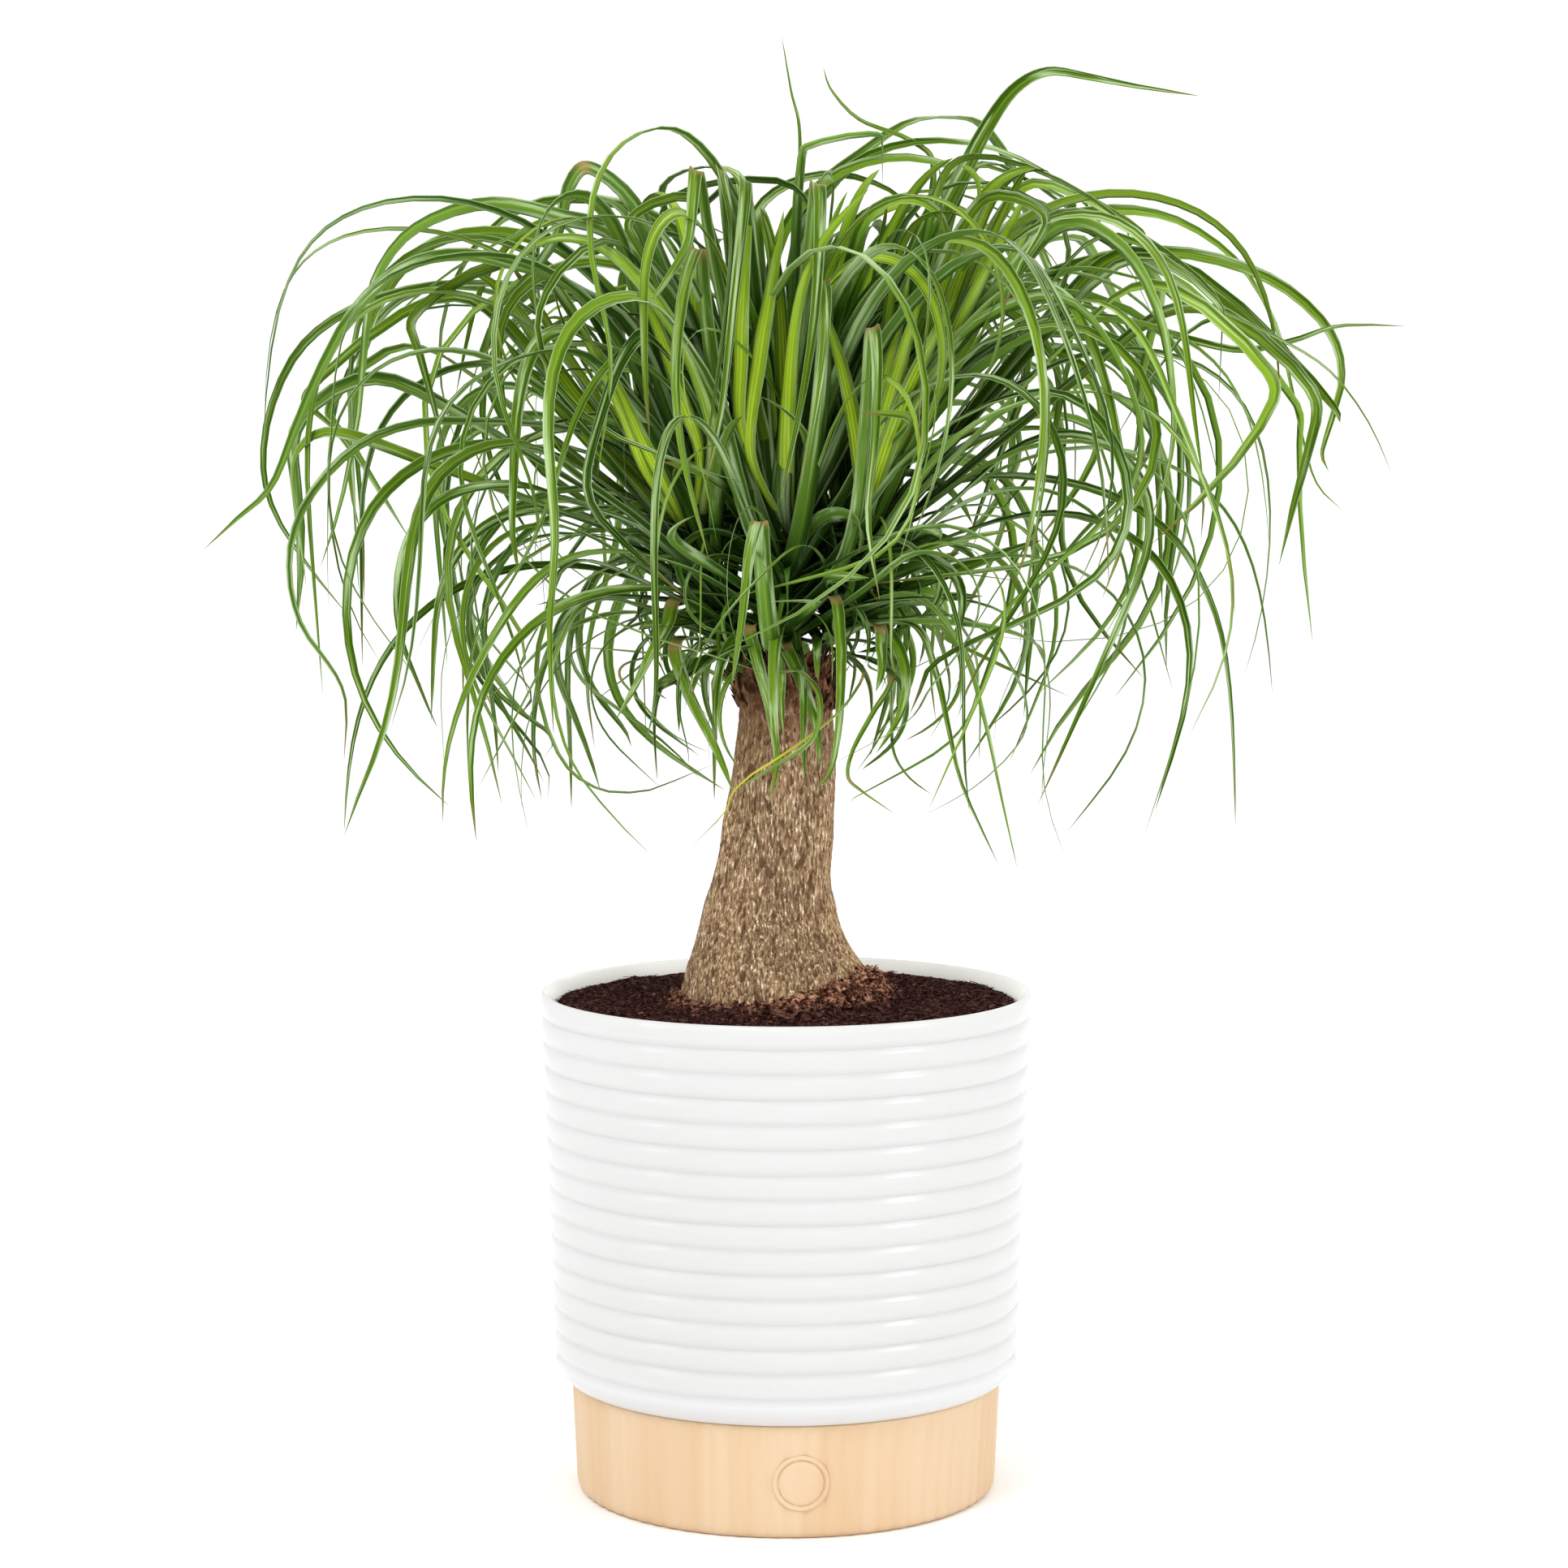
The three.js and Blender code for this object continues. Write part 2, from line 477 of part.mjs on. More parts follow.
// Leaves chosen one by one: head, place on its axis, width and the points they pass through.
const chosen = [
  // left head
  { head: 3, level: 0.62, width: 9, points: [[-38, -25, 506], [-70, -30, 555], [-97, -32, 566],
    [-129, -35, 572], [-160, -38, 561], [-177, -40, 539], [-182, -42, 509], [-185, -44, 478],
    [-192, -46, 443], [-201, -46, 415]] },
  { head: 3, level: 0.4, width: 8, points: [[-61, 10, 503], [-97, 15, 533], [-133, 18, 538],
    [-166, 20, 536], [-195, 20, 526], [-216, 20, 510], [-229, 20, 485], [-233, 18, 459],
    [-228, 14, 438], [-214, 8, 416], [-194, 0, 392]] },
  { head: 3, level: 0.5, width: 8.5, points: [[-59, -40, 506], [-93, -55, 535], [-120, -65, 545],
    [-140, -70, 548], [-160, -76, 543], [-180, -82, 526], [-195, -86, 500], [-206, -88, 475],
    [-216, -90, 451], [-231, -92, 437], [-244, -94, 425]] },
  { head: 3, level: 0.8, width: 9.5, points: [[-39, -8, 506], [-54, -12, 545], [-67, -16, 574],
    [-85, -22, 588], [-94, -27, 579], [-99, -32, 558], [-111, -36, 540], [-125, -40, 525],
    [-129, -42, 506]] },
  { head: 3, level: 0.56, width: 8.5, points: [[-54, 35, 506], [-84, 50, 539], [-106, 58, 557],
    [-136, 64, 563], [-163, 70, 557], [-182, 76, 538], [-193, 80, 514], [-200, 84, 485],
    [-202, 86, 451], [-197, 84, 425]] },
  { head: 3, level: 0.34, width: 9, points: [[-63, -20, 456], [-94, -35, 474], [-128, -48, 477],
    [-155, -58, 477], [-177, -66, 470], [-194, -72, 456], [-206, -76, 437], [-210, -78, 416],
    [-205, -78, 392], [-188, -74, 364], [-189, -70, 333]] },
  { head: 3, level: 0.3, width: 9.5, points: [[-59, -45, 478], [-77, -62, 505], [-92, -75, 516],
    [-105, -86, 509], [-111, -94, 488], [-112, -98, 461], [-108, -100, 434], [-95, -98, 414]] },
  { head: 3, level: 0.24, width: 8, points: [[-59, -35, 429], [-86, -60, 443], [-113, -78, 451],
    [-139, -92, 448], [-155, -100, 434], [-162, -104, 411], [-159, -104, 384], [-139, -98, 349]] },
  // right head
  { head: 1, level: 0.86, width: 10, points: [[29, 10, 485], [55, 20, 542], [77, 30, 584],
    [89, 34, 607], [102, 36, 625], [117, 38, 633], [135, 40, 631], [157, 42, 627], [186, 44, 623]] },
  { head: 1, level: 0.5, width: 8.5, points: [[33, 0, 449], [76, 0, 499], [115, 5, 522],
    [148, 10, 522], [177, 15, 514], [203, 18, 509], [225, 20, 513], [247, 22, 520], [277, 24, 520]] },
  { head: 1, level: 0.55, width: 8, points: [[40, -20, 464], [81, -30, 520], [119, -38, 542],
    [154, -45, 538], [185, -50, 525], [212, -55, 512], [232, -58, 499], [248, -60, 478],
    [259, -60, 455]] },
  { head: 1, level: 0.66, width: 8, points: [[40, 10, 478], [84, 18, 524], [127, 25, 546],
    [168, 32, 553], [201, 38, 548], [227, 42, 536], [246, 44, 517], [251, 44, 497],
    [246, 42, 477], [242, 40, 463], [245, 38, 455]] },
  { head: 1, level: 0.74, width: 9, points: [[26, 18, 492], [59, 30, 539], [99, 40, 561],
    [132, 48, 570], [158, 52, 572], [183, 56, 565], [207, 60, 547], [224, 62, 518],
    [232, 62, 485], [241, 58, 451], [254, 56, 437]] },
  { head: 1, level: 0.44, width: 10, points: [[39, -25, 464], [74, -45, 513], [104, -62, 553],
    [124, -72, 561], [143, -82, 548], [155, -90, 524], [160, -95, 495], [158, -98, 468],
    [146, -98, 438]] },
  { head: 1, level: 0.36, width: 10.5, points: [[32, -30, 443], [56, -50, 492], [79, -68, 529],
    [96, -80, 536], [111, -92, 524], [118, -100, 498], [123, -104, 468], [129, -106, 438],
    [126, -104, 404]] },
  { head: 1, level: 0.22, width: 8, points: [[25, -20, 393], [53, -48, 402], [73, -66, 382],
    [83, -76, 351], [89, -80, 321], [95, -82, 288]] },
  { head: 1, level: 0.28, width: 9, points: [[40, 0, 435], [83, 5, 452], [130, 10, 449],
    [167, 12, 431], [189, 12, 398], [198, 10, 358], [201, 6, 297]] },
  // front head, leaves that fold over towards the viewer
  { head: 0, level: 0.86, width: 10, points: [[-15, -40, 436], [-24, -48, 506], [-35, -54, 557],
    [-40, -60, 583], [-40, -74, 575], [-42, -86, 552], [-52, -94, 537], [-64, -100, 525]] },
  { head: 0, level: 0.9, width: 10, points: [[-12, -36, 450], [-22, -42, 520], [-27, -46, 564],
    [-29, -52, 585], [-26, -66, 575], [-23, -76, 553], [-27, -84, 512], [-34, -88, 464]] },
  { head: 0, level: 0.95, width: 11, points: [[-8, -36, 450], [-13, -42, 520], [-17, -48, 561],
    [-18, -56, 580], [-18, -72, 570], [-22, -84, 532], [-27, -92, 485], [-34, -96, 451]] },
  { head: 0, level: 0.88, width: 10.5, points: [[-3, -40, 450], [6, -46, 513], [11, -52, 557],
    [13, -58, 578], [14, -74, 566], [12, -86, 525], [6, -92, 485], [-3, -95, 444]] },
  { head: 0, level: 0.55, width: 10, points: [[-15, -45, 429], [-29, -58, 485], [-35, -66, 526],
    [-37, -74, 550], [-42, -88, 537], [-46, -100, 502], [-43, -106, 465], [-32, -108, 421]] },
  { head: 0, level: 0.6, width: 10, points: [[6, -45, 429], [14, -54, 478], [17, -62, 519],
    [16, -70, 537], [17, -84, 525], [14, -94, 495], [6, -100, 451]] },
  { head: 0, level: 0.3, width: 9, points: [[22, -48, 412], [31, -58, 438], [34, -68, 474],
    [36, -80, 516], [38, -96, 505], [37, -106, 471], [34, -110, 438], [39, -110, 404]] },
  { head: 0, level: 0.2, width: 10, points: [[-6, -60, 381], [-10, -78, 416], [-11, -90, 436],
    [-15, -104, 424], [-18, -112, 398], [-23, -112, 367]] },
  { head: 0, level: 0.08, width: 4.5, points: [[-3, -46, 370], [6, -62, 371], [14, -74, 361],
    [11, -80, 344], [-6, -82, 332], [-22, -80, 322]] },
  // back head
  { head: 2, level: 0.92, width: 4, points: [[2, 40, 499], [4, 44, 557], [6, 46, 605],
    [2, 46, 626], [-2, 46, 650]] },
  { head: 2, level: 0.8, width: 4, points: [[23, 60, 492], [60, 80, 559], [68, 86, 594],
    [57, 84, 606], [34, 82, 615], [21, 80, 628], [17, 80, 639]] },
  { head: 2, level: 0.7, width: 10, points: [[4, 45, 492], [12, 70, 573], [34, 84, 598],
    [57, 92, 614], [76, 100, 617], [99, 108, 614], [130, 118, 596], [165, 128, 578],
    [197, 136, 557], [222, 140, 531], [232, 140, 492]] },
];

// One head: a short leafy stem with every leaf's root sunk into it.
function buildHead(index) {
  const head = heads[index];
  const top = stemPoint(head, 1);
  const body = rod(stemPoint(head, 0), top, stem.footRadius, stem.topRadius, stem.sides);
  const blades = ordinaryLeaves(index)
    .filter((_, i) => !head.leftOut.includes(i))
    .map((leaf) => blade(bentClear(ordinaryLeafPath(head, leaf), index, leaf.width), leaf));
  chosen
    .filter((leaf) => leaf.head === index)
    .forEach((leaf) => {
      const path = bentClear(chosenLeafPath(head, leaf), index, leaf.width);
      blades.push(blade(path, { ...leaf, twist: 0 }));
    });
  // Pockets closed off between crossing leaves are filled.
  const shells = wasm.Manifold.union([body, ...blades]).decompose();
  return shells.reduce((best, part) => (part.volume() > best.volume() ? part : best));
}

const group = new THREE.Group();
group.add(meshFrom(buildBase(), "pot_base", finishes.peach));
group.add(meshFrom(buildShell(), "pot_shell", finishes.white));
group.add(meshFrom(buildSoil(), "soil", finishes.soil));
group.add(meshFrom(buildTrunk(0), "trunk", finishes.bark));
heads.forEach((head, index) => group.add(meshFrom(buildHead(index), head.name, finishes.leaf)));

export default group;
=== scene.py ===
# A potted ponytail palm, dressed over its solids.
# Metres, +Z up, the front towards -Y. Sizes in the dictionaries are millimetres.
import math
import bpy
import numpy as np
from mathutils import Matrix, Vector, noise


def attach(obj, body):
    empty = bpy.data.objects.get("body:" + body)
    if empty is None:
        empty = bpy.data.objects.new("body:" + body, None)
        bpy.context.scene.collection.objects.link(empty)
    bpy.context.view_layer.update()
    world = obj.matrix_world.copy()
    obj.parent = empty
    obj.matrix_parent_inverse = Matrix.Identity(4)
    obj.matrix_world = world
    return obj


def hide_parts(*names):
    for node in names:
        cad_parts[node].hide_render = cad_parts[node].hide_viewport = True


mm = 0.001
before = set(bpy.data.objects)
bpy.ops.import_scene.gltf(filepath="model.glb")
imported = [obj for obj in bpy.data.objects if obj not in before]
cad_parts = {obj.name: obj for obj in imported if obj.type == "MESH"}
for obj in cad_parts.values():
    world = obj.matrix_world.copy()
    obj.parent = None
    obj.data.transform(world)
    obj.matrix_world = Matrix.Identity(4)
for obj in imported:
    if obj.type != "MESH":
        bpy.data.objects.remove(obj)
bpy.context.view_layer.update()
print("frame loaded")


# camera and stage

cameraPlace = dict(x=-0.884, y=-1773.63, z=487.34, pitchDown=5.483, lens=91.9, sensor=36.0, near=50,
                   far=50000)


def addCamera():
    data = bpy.data.cameras.new("camera")
    data.lens = cameraPlace["lens"]
    data.sensor_width = cameraPlace["sensor"]
    data.clip_start = cameraPlace["near"] * mm
    data.clip_end = cameraPlace["far"] * mm
    camera = bpy.data.objects.new("camera", data)
    camera.location = Vector((cameraPlace["x"], cameraPlace["y"], cameraPlace["z"])) * mm
    camera.rotation_euler = (math.radians(90 - cameraPlace["pitchDown"]), 0, 0)
    bpy.context.scene.collection.objects.link(camera)
    bpy.context.scene.camera = camera


# lengths in metres here
studio = dict(
    world=0.93,
    floorSize=14.0,
    floorColor=(0.94, 0.94, 0.94, 1),
    floorRoughness=0.9,
    # name, place, aim, size, watts
    lamps=[
        ("key", (-1.0, -2.0, 2.6), (0, 0, 0.3), 0.7, 20),
        ("front", (0.6, -2.7, 0.35), (0, 0, 0.15), 1.0, 3),
        ("left", (-2.2, -1.1, 0.8), (0, 0, 0.22), 0.6, 4.5),
        ("fill", (2.0, -1.3, 0.9), (0, 0, 0.22), 0.6, 10),
        ("top", (0.1, 0.2, 2.8), (0, 0, 0.4), 1.0, 8),
        ("rear", (0.9, 2.3, 1.9), (0, 0, 0.4), 1.2, 5),
    ],
)


def addStudio():
    scene = bpy.context.scene
    scene.view_settings.view_transform = "Standard"
    scene.view_settings.look = "Medium High Contrast"
    world = bpy.data.worlds.new("studio")
    world.use_nodes = True
    background = world.node_tree.nodes["Background"]
    background.inputs["Color"].default_value = (1, 1, 1, 1)
    background.inputs["Strength"].default_value = studio["world"]
    scene.world = world
    half = studio["floorSize"] / 2
    corners = [(-half, -half, 0), (half, -half, 0), (half, half, 0), (-half, half, 0)]
    mesh = bpy.data.meshes.new("floor")
    mesh.from_pydata(corners, [], [(0, 1, 2, 3)])
    floor = bpy.data.objects.new("floor", mesh)
    scene.collection.objects.link(floor)
    material = bpy.data.materials.new("paleFloor")
    material.use_nodes = True
    shader = material.node_tree.nodes["Principled BSDF"]
    shader.inputs["Base Color"].default_value = studio["floorColor"]
    shader.inputs["Roughness"].default_value = studio["floorRoughness"]
    mesh.materials.append(material)
    for name, place, aim, size, watts in studio["lamps"]:
        data = bpy.data.lights.new(name, "AREA")
        data.size = size
        data.energy = watts
        lamp = bpy.data.objects.new(name, data)
        lamp.location = place
        lamp.rotation_euler = (Vector(aim) - Vector(place)).to_track_quat("-Z", "Y").to_euler()
        scene.collection.objects.link(lamp)


addCamera()
addStudio()
print("camera and studio ready")


# small helpers

def mix(a, b, t):
    return a + (b - a) * t


def smooth(low, high, x):
    t = min(1.0, max(0.0, (x - low) / (high - low)))
    return t * t * (3 - 2 * t)


# repeatable numbers from 0 to 1, the same ones that the solids' leaves use
def makeRandom(seed):
    state = [seed & 0xFFFFFFFF]

    def draw():
        state[0] = (state[0] + 0x6D2B79F5) & 0xFFFFFFFF
        t = state[0]
        t = ((t ^ (t >> 15)) * (t | 1)) & 0xFFFFFFFF
        t ^= (t + (((t ^ (t >> 7)) * (t | 61)) & 0xFFFFFFFF)) & 0xFFFFFFFF
        return ((t ^ (t >> 14)) & 0xFFFFFFFF) / 4294967296.0

    return draw


def meshObject(name, points, faces, edges=()):
    mesh = bpy.data.meshes.new(name)
    mesh.from_pydata([tuple(c * mm for c in p) for p in points], list(edges), faces)
    if faces:
        mesh.polygons.foreach_set("use_smooth", [True] * len(mesh.polygons))
    obj = bpy.data.objects.new(name, mesh)
    bpy.context.scene.collection.objects.link(obj)
    return obj


def storeNumber(obj, name, values, kind="FLOAT"):
    attribute = obj.data.attributes.new(name, kind, "POINT")
    key = "vector" if kind == "FLOAT_VECTOR" else "value"
    attribute.data.foreach_set(key, np.asarray(values, dtype=np.float32).ravel())


# rings of points round Z from (radius, height) points; a radius of 0 is a pole
def latheSkin(profile, sides):
    points, faces, rings = [], [], []
    for radius, z in profile:
        if radius == 0:
            rings.append([len(points)])
            points.append((0, 0, z))
            continue
        rings.append(list(range(len(points), len(points) + sides)))
        for j in range(sides):
            angle = 2 * math.pi * j / sides
            points.append((radius * math.cos(angle), radius * math.sin(angle), z))
    for low, high in zip(rings, rings[1:]):
        for j in range(sides):
            k = (j + 1) % sides
            if len(low) == 1:
                faces.append((low[0], high[k], high[j]))
            elif len(high) == 1:
                faces.append((low[j], low[k], high[0]))
            else:
                faces.append((low[j], low[k], high[k], high[j]))
    return points, faces


# node tree helpers

def newTree(name, inputs):
    tree = bpy.data.node_groups.new(name, "GeometryNodeTree")
    tree.interface.new_socket("Geometry", in_out="INPUT", socket_type="NodeSocketGeometry")
    for label, kind, value in inputs:
        socket = tree.interface.new_socket(label, in_out="INPUT", socket_type=kind)
        if value is not None:
            socket.default_value = value
    tree.interface.new_socket("Geometry", in_out="OUTPUT", socket_type="NodeSocketGeometry")
    tree.nodes.new("NodeGroupInput")
    tree.nodes.new("NodeGroupOutput")
    return tree


def plug(tree, value, socket):
    if isinstance(value, bpy.types.NodeSocket):
        tree.links.new(value, socket)
    else:
        socket.default_value = value


def inputOf(tree, label):
    return tree.nodes["Group Input"].outputs[label]


def calc(tree, operation, *values):
    node = tree.nodes.new("ShaderNodeMath")
    node.operation = operation
    for i, value in enumerate(values):
        plug(tree, value, node.inputs[i])
    return node.outputs[0]


def times(tree, *values):
    product = values[0]
    for value in values[1:]:
        product = calc(tree, "MULTIPLY", product, value)
    return product


def ramped(tree, value, low, high, toLow=0.0, toHigh=1.0):
    node = tree.nodes.new("ShaderNodeMapRange")
    node.interpolation_type = "SMOOTHSTEP"
    plug(tree, value, node.inputs["Value"])
    plug(tree, low, node.inputs["From Min"])
    plug(tree, high, node.inputs["From Max"])
    plug(tree, toLow, node.inputs["To Min"])
    plug(tree, toHigh, node.inputs["To Max"])
    return node.outputs["Result"]


def nodeWith(tree, kind, settings=None, **inputs):
    node = tree.nodes.new(kind)
    for key, value in (settings or {}).items():
        setattr(node, key, value)
    for label, value in inputs.items():
        plug(tree, value, node.inputs[label.replace("_", " ")])
    return node


def vectorMath(tree, operation, *values, **inputs):
    node = nodeWith(tree, "ShaderNodeVectorMath", {"operation": operation}, **inputs)
    for i, value in enumerate(values):
        plug(tree, value, node.inputs[i])
    return node.outputs[0]


def randomVector(tree, low, high, seed):
    node = nodeWith(tree, "FunctionNodeRandomValue", {"data_type": "FLOAT_VECTOR"}, Seed=seed)
    node.inputs[0].default_value = low
    node.inputs[1].default_value = high
    return node.outputs[0]


def named(tree, name, kind="FLOAT"):
    node = nodeWith(tree, "GeometryNodeInputNamedAttribute", {"data_type": kind}, Name=name)
    return node.outputs["Attribute"]


def marked(tree, geometry, name, value):
    return nodeWith(tree, "GeometryNodeStoreNamedAttribute", {"data_type": "FLOAT", "domain": "POINT"},
                    Geometry=geometry, Name=name, Value=value).outputs[0]


def pointPlace(tree):
    return nodeWith(tree, "GeometryNodeInputPosition").outputs[0]


def axesOf(tree, vector):
    return tuple(nodeWith(tree, "ShaderNodeSeparateXYZ", Vector=vector).outputs)


def shifted(tree, geometry, offset):
    return nodeWith(tree, "GeometryNodeSetPosition", Geometry=geometry, Offset=offset).outputs[0]


# moves a small shape's points about, so that it isn't regular
def shaken(tree, geometry, scale, reach):
    about = nodeWith(tree, "ShaderNodeTexNoise", Scale=scale, Detail=0.0).outputs["Color"]
    centred = vectorMath(tree, "SUBTRACT", about, (0.5, 0.5, 0.5))
    return shifted(tree, geometry, vectorMath(tree, "SCALE", centred, Scale=reach))


def endTree(tree, geometry):
    realized = nodeWith(tree, "GeometryNodeRealizeInstances", Geometry=geometry)
    finished = nodeWith(tree, "GeometryNodeSetMaterial", Geometry=realized.outputs[0],
                        Material=inputOf(tree, "Material"))
    tree.links.new(finished.outputs[0], tree.nodes["Group Output"].inputs[0])


# runs the tree on the object and keeps the result as its plain mesh
def grown(obj, tree, **values):
    modifier = obj.modifiers.new(tree.name, "NODES")
    modifier.node_group = tree
    for item in tree.interface.items_tree:
        key = item.name.replace(" ", "_")
        if item.in_out == "INPUT" and key in values:
            modifier[item.identifier] = values[key]
    evaluated = obj.evaluated_get(bpy.context.evaluated_depsgraph_get())
    mesh = bpy.data.meshes.new_from_object(evaluated)
    obj.modifiers.remove(modifier)
    old = obj.data
    obj.data = mesh
    mesh.name = obj.name
    bpy.data.meshes.remove(old)


def dressed(obj, slotName, *nodes):
    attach(obj, "root")
    if nodes:
        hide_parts(*nodes)


# material helpers

def newMaterial(name, roughness, specular=0.5):
    material = bpy.data.materials.new(name)
    material.use_nodes = True
    shader = material.node_tree.nodes["Principled BSDF"]
    shader.inputs["Roughness"].default_value = roughness
    shader.inputs["Specular IOR Level"].default_value = specular
    return material, material.node_tree, shader


def colorMix(tree, a, b, share):
    node = nodeWith(tree, "ShaderNodeMix", {"data_type": "RGBA"})
    plug(tree, share, node.inputs[0])
    plug(tree, a, node.inputs[6])
    plug(tree, b, node.inputs[7])
    return node.outputs[2]


def stored(tree, name):
    return nodeWith(tree, "ShaderNodeAttribute", {"attribute_name": name}).outputs["Fac"]


def objectPlace(tree):
    return nodeWith(tree, "ShaderNodeTexCoord").outputs["Object"]


def objectHeight(tree):
    return axesOf(tree, objectPlace(tree))[2]


def speckle(tree, scale, detail=4.0, roughness=0.55, stretch=(1, 1, 1)):
    mapping = nodeWith(tree, "ShaderNodeMapping", Vector=objectPlace(tree), Scale=stretch)
    node = nodeWith(tree, "ShaderNodeTexNoise", Vector=mapping.outputs[0], Scale=scale, Detail=detail,
                    Roughness=roughness)
    return node.outputs["Fac"]


def bumped(tree, shader, height, strength, distance):
    node = nodeWith(tree, "ShaderNodeBump", Height=height, Strength=strength, Distance=distance)
    tree.links.new(node.outputs[0], shader.inputs["Normal"])


# the white planter

planter = dict(
    sides=216,
    topRadius=110.0,
    topZ=224,
    taper=5.4 / 160,
    firstGroove=63.3,
    ribPitch=10.82,
    ribs=15,
    lastRibCut=7.5,  # the rounded rim takes this much of the last rib
    ribDepth=1.4,
    grooveSharpness=2.9,
    perRib=12,
    lip=[(91, 50.5), (96.6, 50.5), (97.9, 50.9), (99.3, 52.0), (101.3, 54.2), (102.9, 56.9), (103.9, 59.8)],
    rim=[(109.7, 219.3), (109.75, 221.0), (109.65, 222.6), (109.35, 223.8), (108.9, 224.6), (108.3, 225.0),
         (107.7, 224.9), (107.1, 224.4)],
    inner=[(106.0, 223.2), (104.6, 221.5), (103.5, 219.8), (102.8, 218.0), (102.4, 214), (101.2, 66),
           (94.5, 57.2), (87.5, 54), (84.8, 10.3)],
    foot=[(0, 6.8), (81.1, 6.8), (81.5, 3.3), (88, 3.3)],
    floorTop=(0, 10.3),
    color=(0.618, 0.618, 0.617, 1),
    cloud=(0.588, 0.588, 0.584, 1),
    # painted light: the inner wall under the rim is painted near white, against the shade that falls on it
    inside=(0.97, 0.945, 0.91, 1),
    # painted light: the lip and lowest rib, which face down, are painted paler
    lipPaintedLight=(0.638, 0.640, 0.648, 1),
)


def planterRadius(z):
    return planter["topRadius"] - (planter["topZ"] - z) * planter["taper"]


def whitePlastic():
    material, tree, shader = newMaterial("whitePlastic", 0.22, 0.28)
    # thin plastic lets a little light through
    shader.inputs["Subsurface Weight"].default_value = 0.5
    shader.inputs["Subsurface Radius"].default_value = (1, 1, 1)
    shader.inputs["Subsurface Scale"].default_value = 0.006
    color = colorMix(tree, planter["cloud"], planter["color"], speckle(tree, 9, 3))
    # painted light: paler low down, where the wall turns under
    color = colorMix(tree, color, planter["lipPaintedLight"], ramped(tree, objectHeight(tree), 0.074, 0.056))
    # painted light on the inner wall, where the "inner" attribute is set
    color = colorMix(tree, color, planter["inside"], stored(tree, "inner"))
    tree.links.new(color, shader.inputs["Base Color"])
    bumped(tree, shader, speckle(tree, 900, 2), 0.05, 0.0002)
    return material


# half-round ribs pushed in and out of a wall, one above another
def ribTree():
    tree = newTree("ribs", [
        ("First groove", "NodeSocketFloat", 0.063),
        ("Pitch", "NodeSocketFloat", 0.0108),
        ("Depth", "NodeSocketFloat", 0.001),
        ("Material", "NodeSocketMaterial", None),
    ])
    x, y, z = axesOf(tree, pointPlace(tree))
    rise = calc(tree, "SUBTRACT", z, inputOf(tree, "First groove"))
    rise = calc(tree, "DIVIDE", rise, inputOf(tree, "Pitch"))
    swing = calc(tree, "ABSOLUTE", calc(tree, "SUBTRACT", calc(tree, "FRACT", rise), 0.5))
    hollow = calc(tree, "POWER", times(tree, swing, 2.0), planter["grooveSharpness"])
    inward = times(tree, hollow, inputOf(tree, "Depth"), named(tree, "ribbed"))
    radius = calc(tree, "SQRT", calc(tree, "ADD", times(tree, x, x), times(tree, y, y)))
    share = calc(tree, "DIVIDE", inward, calc(tree, "MAXIMUM", radius, 0.001))
    shift = nodeWith(tree, "ShaderNodeCombineXYZ", X=times(tree, x, share, -1.0),
                     Y=times(tree, y, share, -1.0))
    endTree(tree, shifted(tree, inputOf(tree, "Geometry"), shift.outputs[0]))
    return tree


def makePlanter():
    bottom = planter["firstGroove"]
    top = bottom + planter["ribs"] * planter["ribPitch"] - planter["lastRibCut"]
    count = planter["ribs"] * planter["perRib"]
    wall = []
    for i in range(count + 1):
        z = mix(bottom, top, i / count)
        wall.append((planterRadius(z), z))
    outside = planter["lip"] + wall + planter["rim"]
    profile = planter["foot"] + outside + planter["inner"] + [planter["floorTop"]]
    points, faces = latheSkin(profile, planter["sides"])
    obj = meshObject("planter", points, faces)
    ribbed = []
    for x, y, z in points:
        onWall = math.hypot(x, y) > planterRadius(z) - 0.4 and z >= bottom
        ribbed.append(1.0 if onWall and z <= top + 0.5 else 0.0)
    storeNumber(obj, "ribbed", ribbed)
    # where the inner wall under the rim gets its painted light
    inner = [smooth(108.4, 107.0, math.hypot(x, y)) * smooth(200, 210, z) for x, y, z in points]
    storeNumber(obj, "inner", inner)
    grown(obj, ribTree(), First_groove=bottom * mm, Pitch=planter["ribPitch"] * mm,
          Depth=planter["ribDepth"] * mm, Material=whitePlastic())
    dressed(obj, "white_plastic", "pot_shell")


makePlanter()
print("planter made")


# the peach base

base = dict(
    flutes=72,
    perFlute=10,
    fluteDepth=0.8,
    outside=[(90.4, 0), (91.4, 0.25), (92.6, 0.95), (93.5, 1.9), (94.0, 3.0), (94.25, 5)],
    wall=(8, 49.4, 15),  # heights of its lowest and highest ring, and how many rings
    topZ=50.2,
    topRadius=96.4,
    inside=[(95.9, 50.2), (93.0, 50.2), (92.5, 49.9), (90, 3)],
    floorTop=(0, 3),
    color=(0.645, 0.465, 0.298, 1),
    cloud=(0.62, 0.445, 0.282, 1),
    band=(0.665, 0.51, 0.352, 1),
    streak=(0.59, 0.41, 0.24, 1),
    # painted shade in the medallion's grooves and at its edge
    line=(0.47, 0.30, 0.16, 1),
)


def baseRadius(z):
    footRadius, footZ = base["outside"][-1]
    return mix(footRadius, base["topRadius"], (z - footZ) / (base["topZ"] - footZ))


